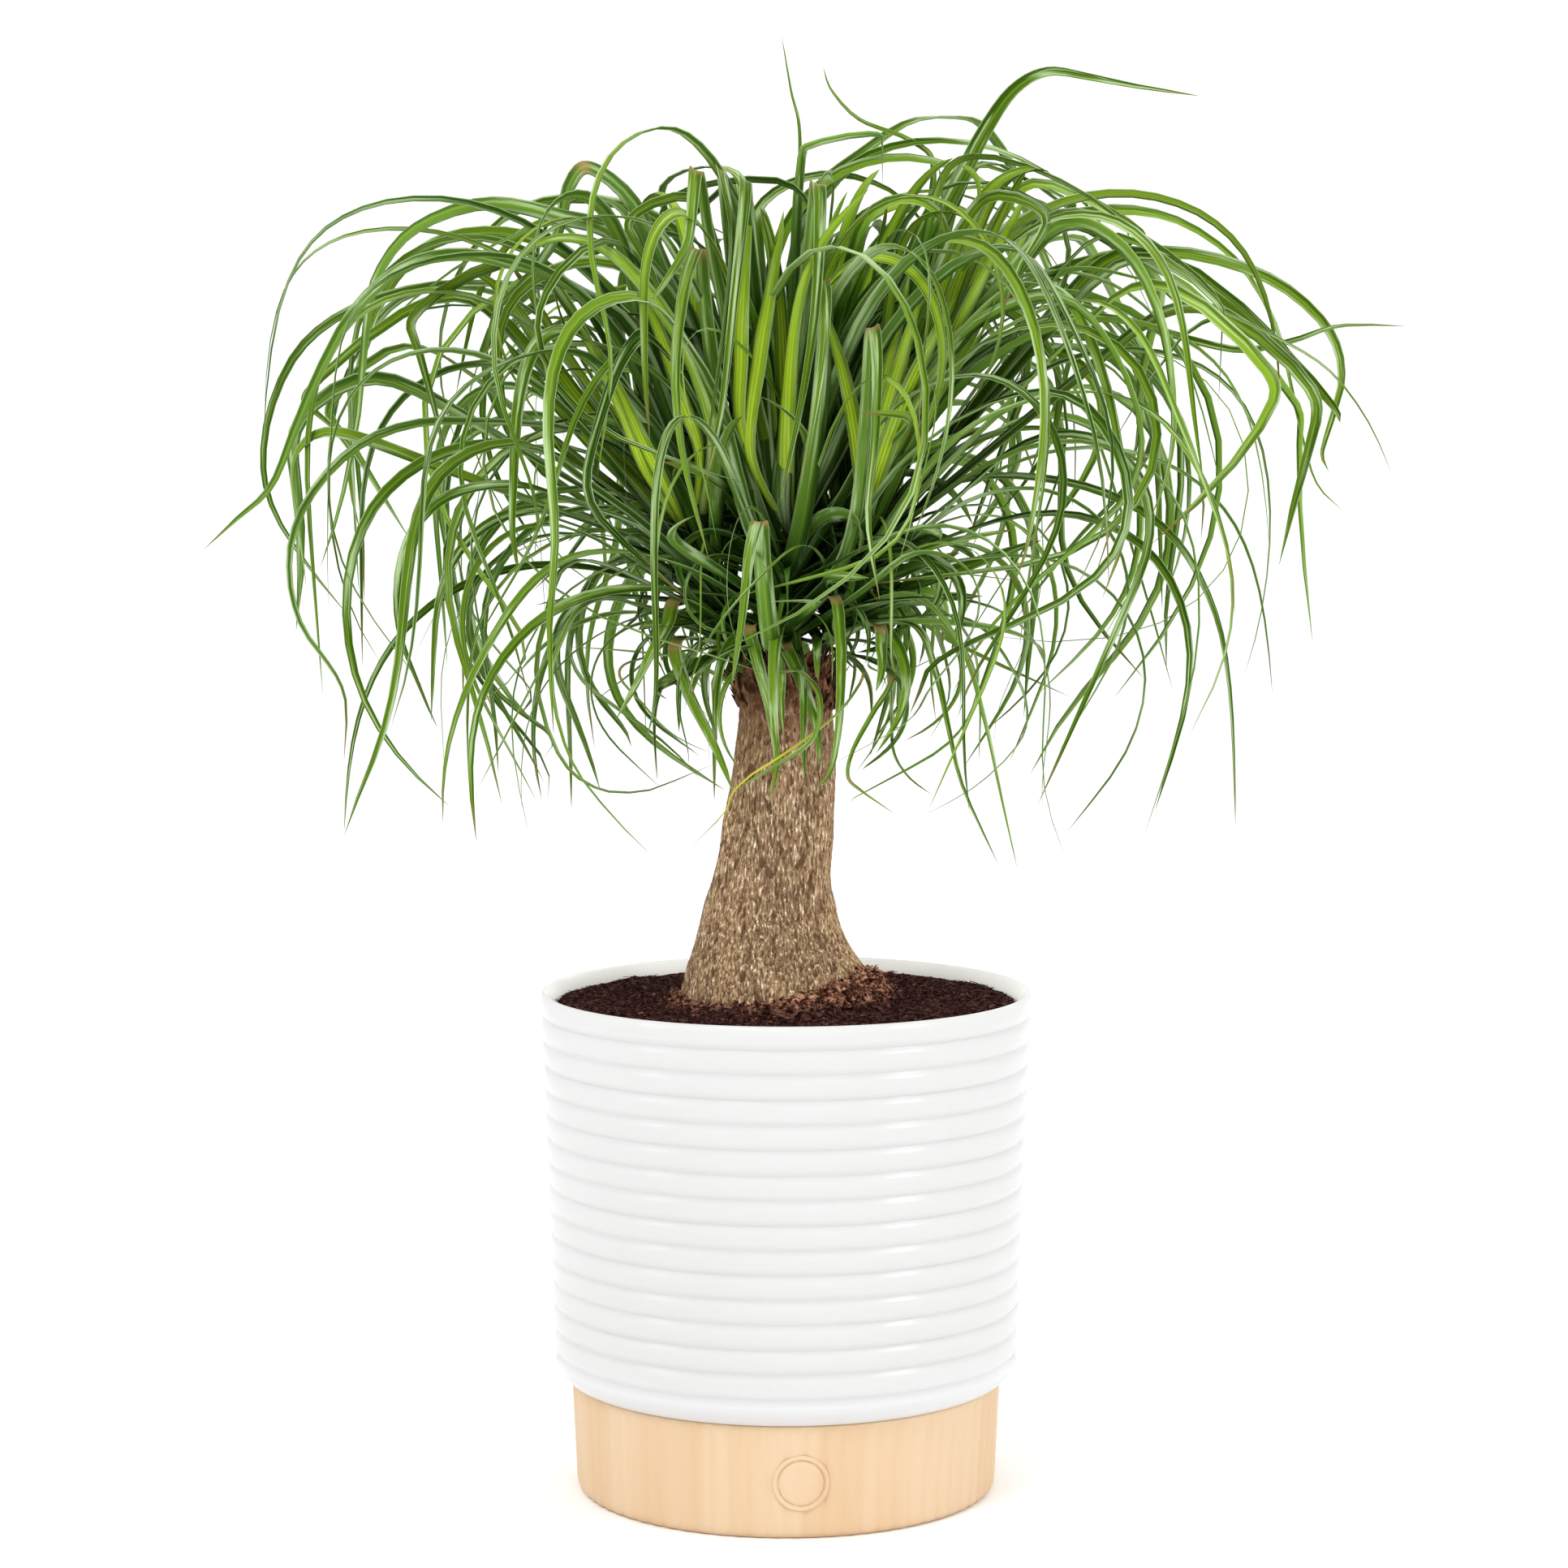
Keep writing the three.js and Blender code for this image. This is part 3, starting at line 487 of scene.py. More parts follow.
def peachPlastic():
    material, tree, shader = newMaterial("peachPlastic", 0.55, 0.4)
    bands = speckle(tree, 9, 2, 0.5, (4, 4, 0.15))
    streaks = speckle(tree, 40, 4, 0.6, (6, 6, 0.3))
    color = colorMix(tree, base["cloud"], base["color"], speckle(tree, 14, 4))
    color = colorMix(tree, color, base["band"], ramped(tree, bands, 0.42, 0.62, 0.0, 0.7))
    color = colorMix(tree, color, base["streak"], ramped(tree, streaks, 0.52, 0.72, 0.0, 0.18))
    # painted shade: the medallion's low places are darker
    color = colorMix(tree, color, base["line"], times(tree, stored(tree, "line"), 0.55))
    tree.links.new(color, shader.inputs["Base Color"])
    bumped(tree, shader, speckle(tree, 700, 2), 0.08, 0.0002)
    return material


# soft upright flutes pressed into a round wall
def fluteTree():
    tree = newTree("flutes", [
        ("Count", "NodeSocketFloat", 72.0),
        ("Depth", "NodeSocketFloat", 0.0008),
        ("Material", "NodeSocketMaterial", None),
    ])
    x, y = axesOf(tree, pointPlace(tree))[:2]
    angle = calc(tree, "ARCTAN2", y, x)
    crest = calc(tree, "ABSOLUTE", calc(tree, "SINE", times(tree, angle, inputOf(tree, "Count"), 0.5)))
    hollow = calc(tree, "SUBTRACT", 1.0, crest)
    outward = times(tree, hollow, inputOf(tree, "Depth"), named(tree, "fluted"), -1.0)
    shift = nodeWith(tree, "ShaderNodeCombineXYZ", X=times(tree, calc(tree, "COSINE", angle), outward),
                     Y=times(tree, calc(tree, "SINE", angle), outward))
    endTree(tree, shifted(tree, inputOf(tree, "Geometry"), shift.outputs[0]))
    return tree


def makeBase():
    side = [(baseRadius(z), z) for z in np.linspace(*base["wall"])]
    profile = [(0, 0)] + base["outside"] + side + base["inside"] + [base["floorTop"]]
    points, faces = latheSkin(profile, base["flutes"] * base["perFlute"])
    obj = meshObject("flutedBase", points, faces)
    fluted = []
    for x, y, z in points:
        outer = math.hypot(x, y) > baseRadius(max(z, 5)) - 2.2 and z < 49.8
        fluted.append(smooth(49.9, 47, z) if outer else 0.0)
    storeNumber(obj, "fluted", fluted)
    peach = peachPlastic()
    grown(obj, fluteTree(), Count=float(base["flutes"]), Depth=base["fluteDepth"] * mm, Material=peach)
    dressed(obj, "peach_plastic", "pot_base")
    return peach


medallion = dict(
    z=25.0,
    turn=3.9,
    sides=96,
    sunk=0.25,
    bend=95.0,  # the radius that it is wrapped round
    # radius and height from the middle outwards
    dish=[(0, 0.62), (4, 0.62), (7.5, 0.6), (9.3, 0.56), (9.6, 0.4), (9.85, 0.2), (10.15, 0.2), (10.4, 0.55),
          (10.7, 0.95), (11.1, 1.1), (11.6, 1.1), (12.0, 0.95), (12.3, 0.5), (12.5, 0.1), (12.6, -1.2),
          (0, -1.2)],
    # painted shade goes where the dish lies lower than this
    paintedShadeBelow=0.3,
)


# a blank round dish with a raised ring, wrapped onto the base's wall
def makeMedallion(peach):
    flat, faces = latheSkin(medallion["dish"], medallion["sides"])
    points = []
    for x, up, height in flat:
        z = medallion["z"] + up
        radius = baseRadius(z) - medallion["sunk"] + height
        angle = math.radians(-90 + medallion["turn"]) + x / medallion["bend"]
        points.append((radius * math.cos(angle), radius * math.sin(angle), z))
    obj = meshObject("medallion", points, faces)
    # marks the dish's low places for their painted shade
    line = [1.0 if height < medallion["paintedShadeBelow"] else 0.0 for x, up, height in flat]
    storeNumber(obj, "line", line)
    obj.data.materials.append(peach)
    dressed(obj, "peach_plastic")


makeMedallion(makeBase())
print("base made")


# the soil

soil = dict(
    edgeZ=219.3,
    bottom=[(84.5, 10.6), (87.2, 54.3), (94.2, 57.5), (100.9, 66.3)],
    edgeRadius=102.1,
    hiddenRadius=34.0,  # the trunk's foot covers the soil inside this
    rings=73,
    sides=260,
    middle=(-4.0, 0.0),
    foot=4.0,
    mound=dict(turn=-18.0, rise=10.5, reach=57.0, spread=54.0),
    # how many on the whole top, as if it were flat
    chips=4000,
    fibres=1450,
    clods=520,
    topPerHeap=10,  # the heap, where the clods lie, is about a tenth of the top
    chipSize=0.85,
    seed=5,
    shadow=(0.018, 0.006, 0.006, 1),
    crumb=(0.150, 0.068, 0.058, 1),
    rust=(0.38, 0.18, 0.125, 1),
    heapShadow=(0.075, 0.026, 0.017, 1),
    heapCrumb=(0.62, 0.35, 0.23, 1),
    # painted shade between the clods of the heap
    heapGapShade=(0.045, 0.015, 0.011, 1),
)


def soilHeight(x, y):
    def bumps(size, layer):
        return noise.noise(Vector((x / size, y / size, layer)))

    dx = x - soil["middle"][0]
    r = math.hypot(dx, y)
    angle = math.degrees(math.atan2(y, dx))
    m = soil["mound"]
    side = math.exp(-(((angle - m["turn"]) / m["spread"]) ** 2))
    near = 1 - smooth(41, m["reach"], r)
    lumps = 1.5 * noise.fractal(Vector((x / 16, y / 16, 3.1)), 0.8, 2.1, 5)
    crumbs = 0.9 * bumps(2.1, 7.7) + 0.5 * bumps(0.9, 1.7)
    rough = mix(1.0, 1.8, near * side)
    crumbs += 1.5 * near * side * bumps(3.6, 5.2)
    edge = smooth(soil["edgeRadius"], soil["edgeRadius"] - 5, math.hypot(x, y))
    heap = near * (soil["foot"] + m["rise"] * side)
    return soil["edgeZ"] + heap + (lumps + crumbs * rough) * mix(0.35, 1, edge)


def darkSoil():
    material, tree, shader = newMaterial("darkSoil", 0.95, 0.08)
    fine = speckle(tree, 420, 5, 0.7)
    rust = speckle(tree, 260, 3, 0.6)
    clump = speckle(tree, 150, 3, 0.6)
    color = colorMix(tree, soil["shadow"], soil["crumb"], ramped(tree, fine, 0.42, 0.64))
    color = colorMix(tree, color, soil["rust"], ramped(tree, rust, 0.61, 0.70, 0.0, 0.85))
    heap = colorMix(tree, soil["heapShadow"], soil["heapCrumb"], ramped(tree, fine, 0.42, 0.60))
    # painted shade: dark gaps between the heap's clods
    heap = colorMix(tree, heap, soil["heapGapShade"], ramped(tree, clump, 0.50, 0.40, 0.0, 0.75))
    color = colorMix(tree, color, heap, stored(tree, "dry"))
    tree.links.new(color, shader.inputs["Base Color"])
    bumped(tree, shader, fine, 0.9, 0.0015)
    return material


# bark chips, fibres and clods scattered over the soil's top
def crumbTree():
    tree = newTree("crumbs", [
        ("Chips", "NodeSocketFloat", 1000.0),
        ("Fibres", "NodeSocketFloat", 100.0),
        ("Clods", "NodeSocketFloat", 100.0),
        ("Chip size", "NodeSocketFloat", 0.001),
        ("Seed", "NodeSocketInt", 3),
        ("Material", "NodeSocketMaterial", None),
    ])
    ground = inputOf(tree, "Geometry")
    size = inputOf(tree, "Chip size")

    def scattered(where, kind, shape, low, high, tilt, seed):
        spots = nodeWith(tree, "GeometryNodeDistributePointsOnFaces", Mesh=ground, Selection=where,
                         Density=inputOf(tree, kind),
                         Seed=calc(tree, "ADD", inputOf(tree, "Seed"), float(seed)))
        turn = randomVector(tree, (-tilt, -tilt, -3.14), (tilt, tilt, 3.14), seed)
        larger = calc(tree, "ADD", 1.0, times(tree, named(tree, "dry"), 1.1))
        grow = vectorMath(tree, "SCALE", randomVector(tree, low, high, seed + 1), Scale=larger)
        return nodeWith(tree, "GeometryNodeInstanceOnPoints", Points=spots.outputs["Points"],
                        Instance=shape, Rotation=turn, Scale=grow).outputs[0]

    clod = nodeWith(tree, "GeometryNodeMeshIcoSphere", Radius=size, Subdivisions=1).outputs["Mesh"]
    chip = nodeWith(tree, "GeometryNodeMeshUVSphere", Segments=4, Rings=2,
                    Radius=times(tree, size, 1.12)).outputs["Mesh"]
    line = nodeWith(tree, "GeometryNodeCurvePrimitiveLine", Start=(-0.004, 0, 0.0006),
                    End=(0.004, 0, 0.0009)).outputs[0]
    line = nodeWith(tree, "GeometryNodeResampleCurve", Curve=line, Count=3).outputs[0]
    ring = nodeWith(tree, "GeometryNodeCurvePrimitiveCircle", Resolution=3, Radius=0.00017).outputs[0]
    fibre = nodeWith(tree, "GeometryNodeCurveToMesh", Curve=shaken(tree, line, 160.0, 0.003),
                     Profile_Curve=ring, Fill_Caps=True).outputs[0]
    clod = shaken(tree, clod, 900.0, 0.0012)
    chip = shaken(tree, chip, 900.0, 0.0012)
    top = named(tree, "top")
    heap = times(tree, top, calc(tree, "GREATER_THAN", named(tree, "dry"), 0.4))
    parts = [
        scattered(heap, "Clods", clod, (0.8, 0.6, 0.5), (2.7, 1.9, 1.5), 0.9, 37),
        scattered(top, "Fibres", fibre, (0.3, 0.6, 0.6), (1.0, 1.2, 1.2), 0.25, 23),
        scattered(top, "Chips", chip, (0.45, 0.35, 0.3), (1.7, 1.1, 0.8), 0.6, 11),
        ground,
    ]
    every = nodeWith(tree, "GeometryNodeJoinGeometry")
    for part in parts:
        tree.links.new(part, every.inputs[0])
    endTree(tree, every.outputs[0])
    return tree


def makeSoil():
    sides = soil["sides"]
    points = [(0, 0, soil["bottom"][0][1])]
    faces, rings = [], []
    for radius, z in soil["bottom"]:
        rings.append([len(points) + j for j in range(sides)])
        for j in range(sides):
            angle = 2 * math.pi * j / sides
            points.append((radius * math.cos(angle), radius * math.sin(angle), z))
    for i in range(soil["rings"]):
        radius = mix(soil["edgeRadius"], soil["hiddenRadius"], i / (soil["rings"] - 1))
        rings.append([len(points) + j for j in range(sides)])
        for j in range(sides):
            angle = 2 * math.pi * (j + 0.5 * (i % 2)) / sides
            x, y = radius * math.cos(angle), radius * math.sin(angle)
            points.append((x, y, soilHeight(x, y)))
    middle = len(points)
    points.append((0, 0, soilHeight(0, 0)))
    for j in range(sides):
        k = (j + 1) % sides
        faces.append((0, rings[0][k], rings[0][j]))
        faces.append((rings[-1][j], rings[-1][k], middle))
        for low, high in zip(rings, rings[1:]):
            faces.append((low[j], low[k], high[k], high[j]))
    obj = meshObject("soilBed", points, faces)
    firstTop = rings[len(soil["bottom"])][0]
    storeNumber(obj, "top", [1.0 if firstTop <= i < middle - sides else 0.0 for i in range(len(points))])
    dry = []
    for x, y, z in points:
        r = math.hypot(x - soil["middle"][0], y)
        heaped = smooth(221.5, 226.0, z) if r < 80 else 0.0
        foot = 0.6 * smooth(52, 45, r + 4 * noise.noise(Vector((x / 5, y / 5, 0))))
        dry.append(max(heaped, foot))
    storeNumber(obj, "dry", dry)
    area = math.pi * (soil["edgeRadius"] * mm) ** 2
    grown(obj, crumbTree(), Chips=soil["chips"] / area, Fibres=soil["fibres"] / area,
          Clods=soil["topPerHeap"] * soil["clods"] / area, Chip_size=soil["chipSize"] * mm,
          Seed=soil["seed"], Material=darkSoil())
    dressed(obj, "soil", "soil")


makeSoil()
print("soil made")


# the trunk

trunk = dict(
    # height, middle in X, radius
    rings=[(196, -4, 30), (210, -4, 42), (219, -4.2, 45.2), (226.3, -4.6, 43), (235.4, -6, 39.4),
           (246.4, -7.8, 33.7), (257.4, -7.7, 29.9), (273.8, -6.3, 26.5), (290.2, -3.8, 25.1),
           (306.6, -1.6, 23.6), (322.9, -0.5, 22.4), (339.2, 0.4, 21.2), (355.5, 0.2, 20.6),
           (365, 0, 21.2), (370, 0, 17), (372, 0, 9)],
    blendOver=(-5, -2.5, 0, 2.5, 5),  # rounds the corners between the measured rings
    sharpAbove=358,
    sides=290,
    step=0.62,
    lump=0.03,
    swell=1.1,
    fissureDepth=1.1,
    flakeDepth=0.8,
    cork=(0.30, 0.205, 0.125, 1),
    paleCork=(0.50, 0.34, 0.198, 1),
    # the cork's dark pits, with painted shade in the hollows of the bumped grain
    pitAndShade=(0.13, 0.074, 0.040, 1),
    # pale flecks of cork, with a painted highlight on the crests of the bumped grain
    fleckAndHighlight=(0.96, 0.80, 0.60, 1),
    # painted shade: the bark is darker down in its fissures
    fissure=(0.14, 0.08, 0.046, 1),
    upper=(0.24, 0.115, 0.065, 1),
)


def trunkAt(z):
    rings = trunk["rings"]
    for low, high in zip(rings, rings[1:]):
        if z <= high[0]:
            t = (z - low[0]) / (high[0] - low[0])
            return mix(low[1], high[1], t), mix(low[2], high[2], t)
    return rings[-1][1], rings[-1][2]


def corkyBark():
    material, tree, shader = newMaterial("corkyBark", 0.9, 0.12)
    patch = speckle(tree, 22, 4, 0.6, (1, 1, 0.45))
    grain = speckle(tree, 1020, 3, 0.65, (1, 1, 0.22))
    depth, height = stored(tree, "depth"), objectHeight(tree)
    color = colorMix(tree, trunk["cork"], trunk["paleCork"], ramped(tree, patch, 0.35, 0.65))
    # dark pits and painted shade where the grain is low, pale flecks and a painted highlight where it is
    # high; the same grain bumps the surface
    color = colorMix(tree, color, trunk["pitAndShade"], ramped(tree, grain, 0.52, 0.37, 0.0, 0.9))
    color = colorMix(tree, color, trunk["fleckAndHighlight"], ramped(tree, grain, 0.545, 0.68, 0.0, 0.95))
    # painted shade in the fissures
    color = colorMix(tree, color, trunk["fissure"], ramped(tree, depth, 0.2, 1.0, 0.0, 0.8))
    color = colorMix(tree, color, trunk["upper"], ramped(tree, height, 0.31, 0.37, 0.0, 0.75))
    tree.links.new(color, shader.inputs["Base Color"])
    bumped(tree, shader, grain, 0.9, 0.0011)
    return material


# fissures and corky flakes pressed into the trunk along its own normals
def barkTree():
    tree = newTree("bark", [
        ("Fissure depth", "NodeSocketFloat", 0.0015),
        ("Flake depth", "NodeSocketFloat", 0.0006),
        ("Material", "NodeSocketMaterial", None),
    ])
    place = pointPlace(tree)
    warp = nodeWith(tree, "ShaderNodeTexNoise", Vector=place, Scale=110.0, Detail=3.0).outputs["Color"]
    bent = vectorMath(tree, "MULTIPLY_ADD", warp, (0.006, 0.006, 0.006), place)
    stretched = vectorMath(tree, "MULTIPLY", bent, (1.0, 1.0, 0.28))
    ridges = nodeWith(tree, "ShaderNodeTexNoise", Vector=stretched, Scale=430.0, Detail=2.0,
                      Roughness=0.55)
    fissure = ramped(tree, ridges.outputs["Fac"], 0.34, 0.50, 1.0, 0.0)
    broad = nodeWith(tree, "ShaderNodeTexNoise", Vector=stretched, Scale=95.0, Detail=5.0, Roughness=0.65)
    flake = ramped(tree, broad.outputs["Fac"], 0.3, 0.7, 1.0, 0.0)
    inward = calc(tree, "ADD", times(tree, fissure, inputOf(tree, "Fissure depth")),
                  times(tree, flake, inputOf(tree, "Flake depth")))
    # the crests stand a little proud, so that the mean surface stays where it was
    inward = calc(tree, "SUBTRACT", inward, 0.0006)
    # stores where the fissures are, for the painted shade in them
    skin = marked(tree, inputOf(tree, "Geometry"), "depth", fissure)
    normal = nodeWith(tree, "GeometryNodeInputNormal").outputs[0]
    push = vectorMath(tree, "SCALE", normal, Scale=times(tree, inward, -1.0))
    endTree(tree, shifted(tree, skin, push))
    return tree


def makeTrunk():
    low, high = trunk["rings"][0][0], trunk["rings"][-1][0]
    count = int((high - low) / trunk["step"])
    points, faces = [], []
    sides = trunk["sides"]
    for i in range(count + 1):
        z = mix(low, high, i / count)
        near = [trunkAt(z + d) for d in trunk["blendOver"]]
        middle = sum(m for m, r in near) / len(near)
        radius = sum(r for m, r in near) / len(near) if z < trunk["sharpAbove"] else trunkAt(z)[1]
        for j in range(sides):
            angle = 2 * math.pi * j / sides
            lump = 1 + trunk["lump"] * math.sin(3 * angle + z / 29) * smooth(366, 330, z)
            spot = Vector((math.cos(angle) * 1.4, math.sin(angle) * 1.4, z / 21))
            r = radius * lump + trunk["swell"] * noise.noise(spot) * smooth(370, 350, z)
            points.append((middle + r * math.cos(angle), r * math.sin(angle), z))
    for i in range(count):
        for j in range(sides):
            k = (j + 1) % sides
            a, b = i * sides, (i + 1) * sides
            faces.append((a + j, a + k, b + k, b + j))
    for ring, flip in ((0, True), (count, False)):
        hub = len(points)
        first = points[ring * sides:(ring + 1) * sides]
        points.append(tuple(sum(p[axis] for p in first) / sides for axis in range(3)))
        for j in range(sides):
            a, b = ring * sides + j, ring * sides + (j + 1) % sides
            faces.append((hub, b, a) if flip else (hub, a, b))
    obj = meshObject("trunkBark", points, faces)
    grown(obj, barkTree(), Fissure_depth=trunk["fissureDepth"] * mm, Flake_depth=trunk["flakeDepth"] * mm,
          Material=corkyBark())
    dressed(obj, "bark", "trunk")


# the dried bases of fallen leaves, in a collar under the crown
collar = dict(
    band=[(20.9, 350), (22.4, 355), (22.6, 361), (20.6, 368), (15.0, 371.5)],
    sides=48,
    count=230,
    length=10.5,
    radius=2.6,
    flatness=0.4,
    seed=9,
    dark=(0.08, 0.034, 0.018, 1),
    light=(0.27, 0.145, 0.085, 1),
    fibre=(0.42, 0.29, 0.19, 1),
)


def driedHusk():
    material, tree, shader = newMaterial("driedHusk", 0.92, 0.1)
    hue = speckle(tree, 160, 3, 0.6)
    fibre = speckle(tree, 900, 3, 0.6, (1, 1, 0.15))
    color = colorMix(tree, collar["dark"], collar["light"], ramped(tree, hue, 0.38, 0.64))
    color = colorMix(tree, color, collar["fibre"], ramped(tree, fibre, 0.55, 0.75, 0.0, 0.6))
    tree.links.new(color, shader.inputs["Base Color"])
    bumped(tree, shader, fibre, 0.6, 0.0005)
    return material


# pointed husks set over a round band, tips up and outwards
def huskTree():
    tree = newTree("husks", [
        ("Density", "NodeSocketFloat", 1000.0),
        ("Length", "NodeSocketFloat", 0.01),
        ("Radius", "NodeSocketFloat", 0.002),
        ("Flatness", "NodeSocketFloat", 0.35),
        ("Seed", "NodeSocketInt", 9),
        ("Material", "NodeSocketMaterial", None),
    ])
    husk = nodeWith(tree, "GeometryNodeMeshCone", Vertices=6, Side_Segments=2, Depth=inputOf(tree, "Length"),
                    Radius_Bottom=inputOf(tree, "Radius"), Radius_Top=0.0002).outputs["Mesh"]
    flat = nodeWith(tree, "ShaderNodeCombineXYZ", X=1.0, Y=inputOf(tree, "Flatness"), Z=1.0)
    husk = nodeWith(tree, "GeometryNodeTransform", Geometry=husk, Scale=flat.outputs[0]).outputs[0]
    spots = nodeWith(tree, "GeometryNodeDistributePointsOnFaces", Mesh=inputOf(tree, "Geometry"),
                     Density=inputOf(tree, "Density"), Seed=inputOf(tree, "Seed"))
    facing = nodeWith(tree, "FunctionNodeAlignRotationToVector", {"axis": "Y", "pivot_axis": "Z"},
                      Vector=spots.outputs["Normal"])
    lean = randomVector(tree, (-0.75, -0.35, -0.4), (-0.05, 0.35, 0.4), 4)
    turned = nodeWith(tree, "FunctionNodeRotateRotation", {"rotation_space": "LOCAL"},
                      Rotation=facing.outputs[0], Rotate_By=lean)
    size = randomVector(tree, (0.6, 0.6, 0.45), (1.3, 1.3, 1.2), 6)
    placed = nodeWith(tree, "GeometryNodeInstanceOnPoints", Points=spots.outputs["Points"], Instance=husk,
                      Rotation=turned.outputs[0], Scale=size)
    endTree(tree, placed.outputs[0])
    return tree


def makeCollar():
    points, faces = latheSkin(collar["band"], collar["sides"])
    points = [(x + trunkAt(z)[0], y, z) for x, y, z in points]
    obj = meshObject("driedCollar", points, faces)
    area = sum(polygon.area for polygon in obj.data.polygons)
    grown(obj, huskTree(), Density=collar["count"] / area, Length=collar["length"] * mm,
          Radius=collar["radius"] * mm, Flatness=collar["flatness"], Seed=collar["seed"],
          Material=driedHusk())
    dressed(obj, "bark")


makeTrunk()
makeCollar()
print("trunk made")


# the leaves

# turn and lean say which way a head points, light how pale its leaves are
heads = [
    dict(name="headFront", node="head_front", turn=-90.0, lean=14.0, leaves=23, light=1.0,
         parting=34.0, leftOut=(6, 9)),
    dict(name="headRight", node="head_right", turn=0.0, lean=21.0, leaves=29, light=1.12,
         parting=0.0, leftOut=()),
    dict(name="headBack", node="head_back", turn=90.0, lean=14.0, leaves=31, light=0.95,
         parting=0.0, leftOut=()),
    dict(name="headLeft", node="head_left", turn=180.0, lean=28.0, leaves=30, light=0.72,
         parting=0.0, leftOut=()),
]
stem = dict(reach=14.0, z=372.0, length=62.0, footRadius=7.6, topRadius=4.0)
crown = dict(
    seed=7,
    goldenShare=0.6180339887,
    steps=48,
    keepOff=3.0,
    reachSoft=165.0,
    reachSpan=78.0,
    trunkClear=34.0,
    # middle and half sizes of the two shaded places inside the crown, and how far their shade reaches
    shaded=[((0, -5, 412), (80, 80, 62), 0.2, 1.1), ((5, 12, 515), (112, 80, 74), 0.5, 1.1)],
    # stations along a leaf of each kind
    segments=dict(ordinary=26, chosen=34, near=24, fine=18, stem=8),
    dryShare=0.4,  # of the leaves, those with dry tips
    thinnest=0.03,
    # the blade's section, as shares of its half width
    channel=0.34,
    thickness=0.09,
    sectionPoints=10,
)


def slopeVector(rise, turn):
    return Vector((math.cos(rise) * math.cos(turn), math.cos(rise) * math.sin(turn), math.sin(rise)))


def stemPoint(head, along):
    lean = math.radians(head["lean"])
    turn = math.radians(head["turn"])
    r = stem["reach"] + along * stem["length"] * math.sin(lean)
    z = stem["z"] + along * stem["length"] * math.cos(lean)
    return Vector((r * math.cos(turn), r * math.sin(turn), z))


def borderWave(k, radius, z):
    return smooth(35, 130, radius) * 13 * math.sin(radius / 38 + z / 47 + 1.9 * k)


def softLimit(x):
    return x if x < 0.6 else 0.6 + 0.4 * math.tanh((x - 0.6) / 0.4)


def widthShare(s, taper=0.62):
    return mix(0.75, 1, smooth(0, 0.1, s)) * max(0.0, 1 - s) ** taper


# the same leaves as the solids have: oldest lowest, youngest upright
def ordinaryLeaves(index):
    head = heads[index]
    draw = makeRandom(crown["seed"] + 101 * index)
    leaves = []
    for i in range(head["leaves"]):
        level = (i + 0.5) / head["leaves"]
        share = (i * crown["goldenShare"] + 0.37 * index) % 1
        old = 1 - smooth(0, 0.4, level)
        young = smooth(0.84, 1, level)
        aside = (share - 0.5) * 2
        parting = head["parting"] * smooth(0.25, 0.45, level)
        leaves.append(dict(
            level=level,
            turn=math.copysign(mix(parting, mix(64, 60, level), abs(aside)), aside) + (draw() - 0.5) * 14,
            launch=mix(6, 84, level ** 0.8) + (draw() - 0.5) * 22,
            length=mix(mix(365, 205, old), 300, young) * mix(0.8, 1.12, draw()),
            end=-mix(122, 102, level) - (draw() - 0.5) * 70,
            bendAt=mix(0.5, 0.6, level) + (draw() - 0.5) * 0.1,
            bendHalf=mix(0.5, 0.2, draw() ** 1.5),
            sway=(draw() - 0.5) * 110,
            width=mix(6.4, 10, draw()) * mix(1, 0.85, old),
            twist=(draw() - 0.5) * 90,
            lowest=mix(285, 345, draw()),
        ))
    return [leaf for i, leaf in enumerate(leaves) if i not in head["leftOut"]]


def ordinaryPath(head, leaf, length):
    step = length / crown["steps"]
    at = stemPoint(head, leaf["level"])
    path = [at.copy()]
    for i in range(crown["steps"]):
        s = (i + 0.5) / crown["steps"]
        bend = smooth(leaf["bendAt"] - leaf["bendHalf"], leaf["bendAt"] + leaf["bendHalf"], s)
        rise = math.radians(mix(leaf["launch"], leaf["end"], bend))
        turn = math.radians(head["turn"] + leaf["turn"] + leaf["sway"] * s * s)
        at += step * slopeVector(rise, turn)
        path.append(at.copy())
    kept = []
    for p in path:
        r = math.hypot(p.x, p.y)
        over = (r - crown["reachSoft"]) / crown["reachSpan"]
        share = (crown["reachSoft"] + crown["reachSpan"] * math.tanh(over)) / r if over > 0 else 1.0
        kept.append(Vector((p.x * share, p.y * share, p.z)))
    return kept


# shortens a leaf until its tip ends high enough
def leafPath(head, leaf):
    length = leaf["length"]
    path = ordinaryPath(head, leaf, length)
    while path[-1].z < leaf["lowest"] and length > 90:
        length *= 0.95
        path = ordinaryPath(head, leaf, length)
    return path


# a smooth line through the chosen points
def chosenPath(head, leaf):
    points = [stemPoint(head, leaf["level"])] + [Vector(p) for p in leaf["points"]]
    last = len(points) - 1
    path = []
    for step in range(crown["steps"] + 1):
        x = min(step / crown["steps"] * last, last - 1e-9)
        i = int(x)
        f = x - i
        a, b, c, d = points[max(0, i - 1)], points[i], points[i + 1], points[min(last, i + 2)]
        path.append(0.5 * (2 * b + (c - a) * f + (2 * a - 5 * b + 4 * c - d) * f * f
                           + (3 * b - a - 3 * c + d) * f ** 3))
    return path


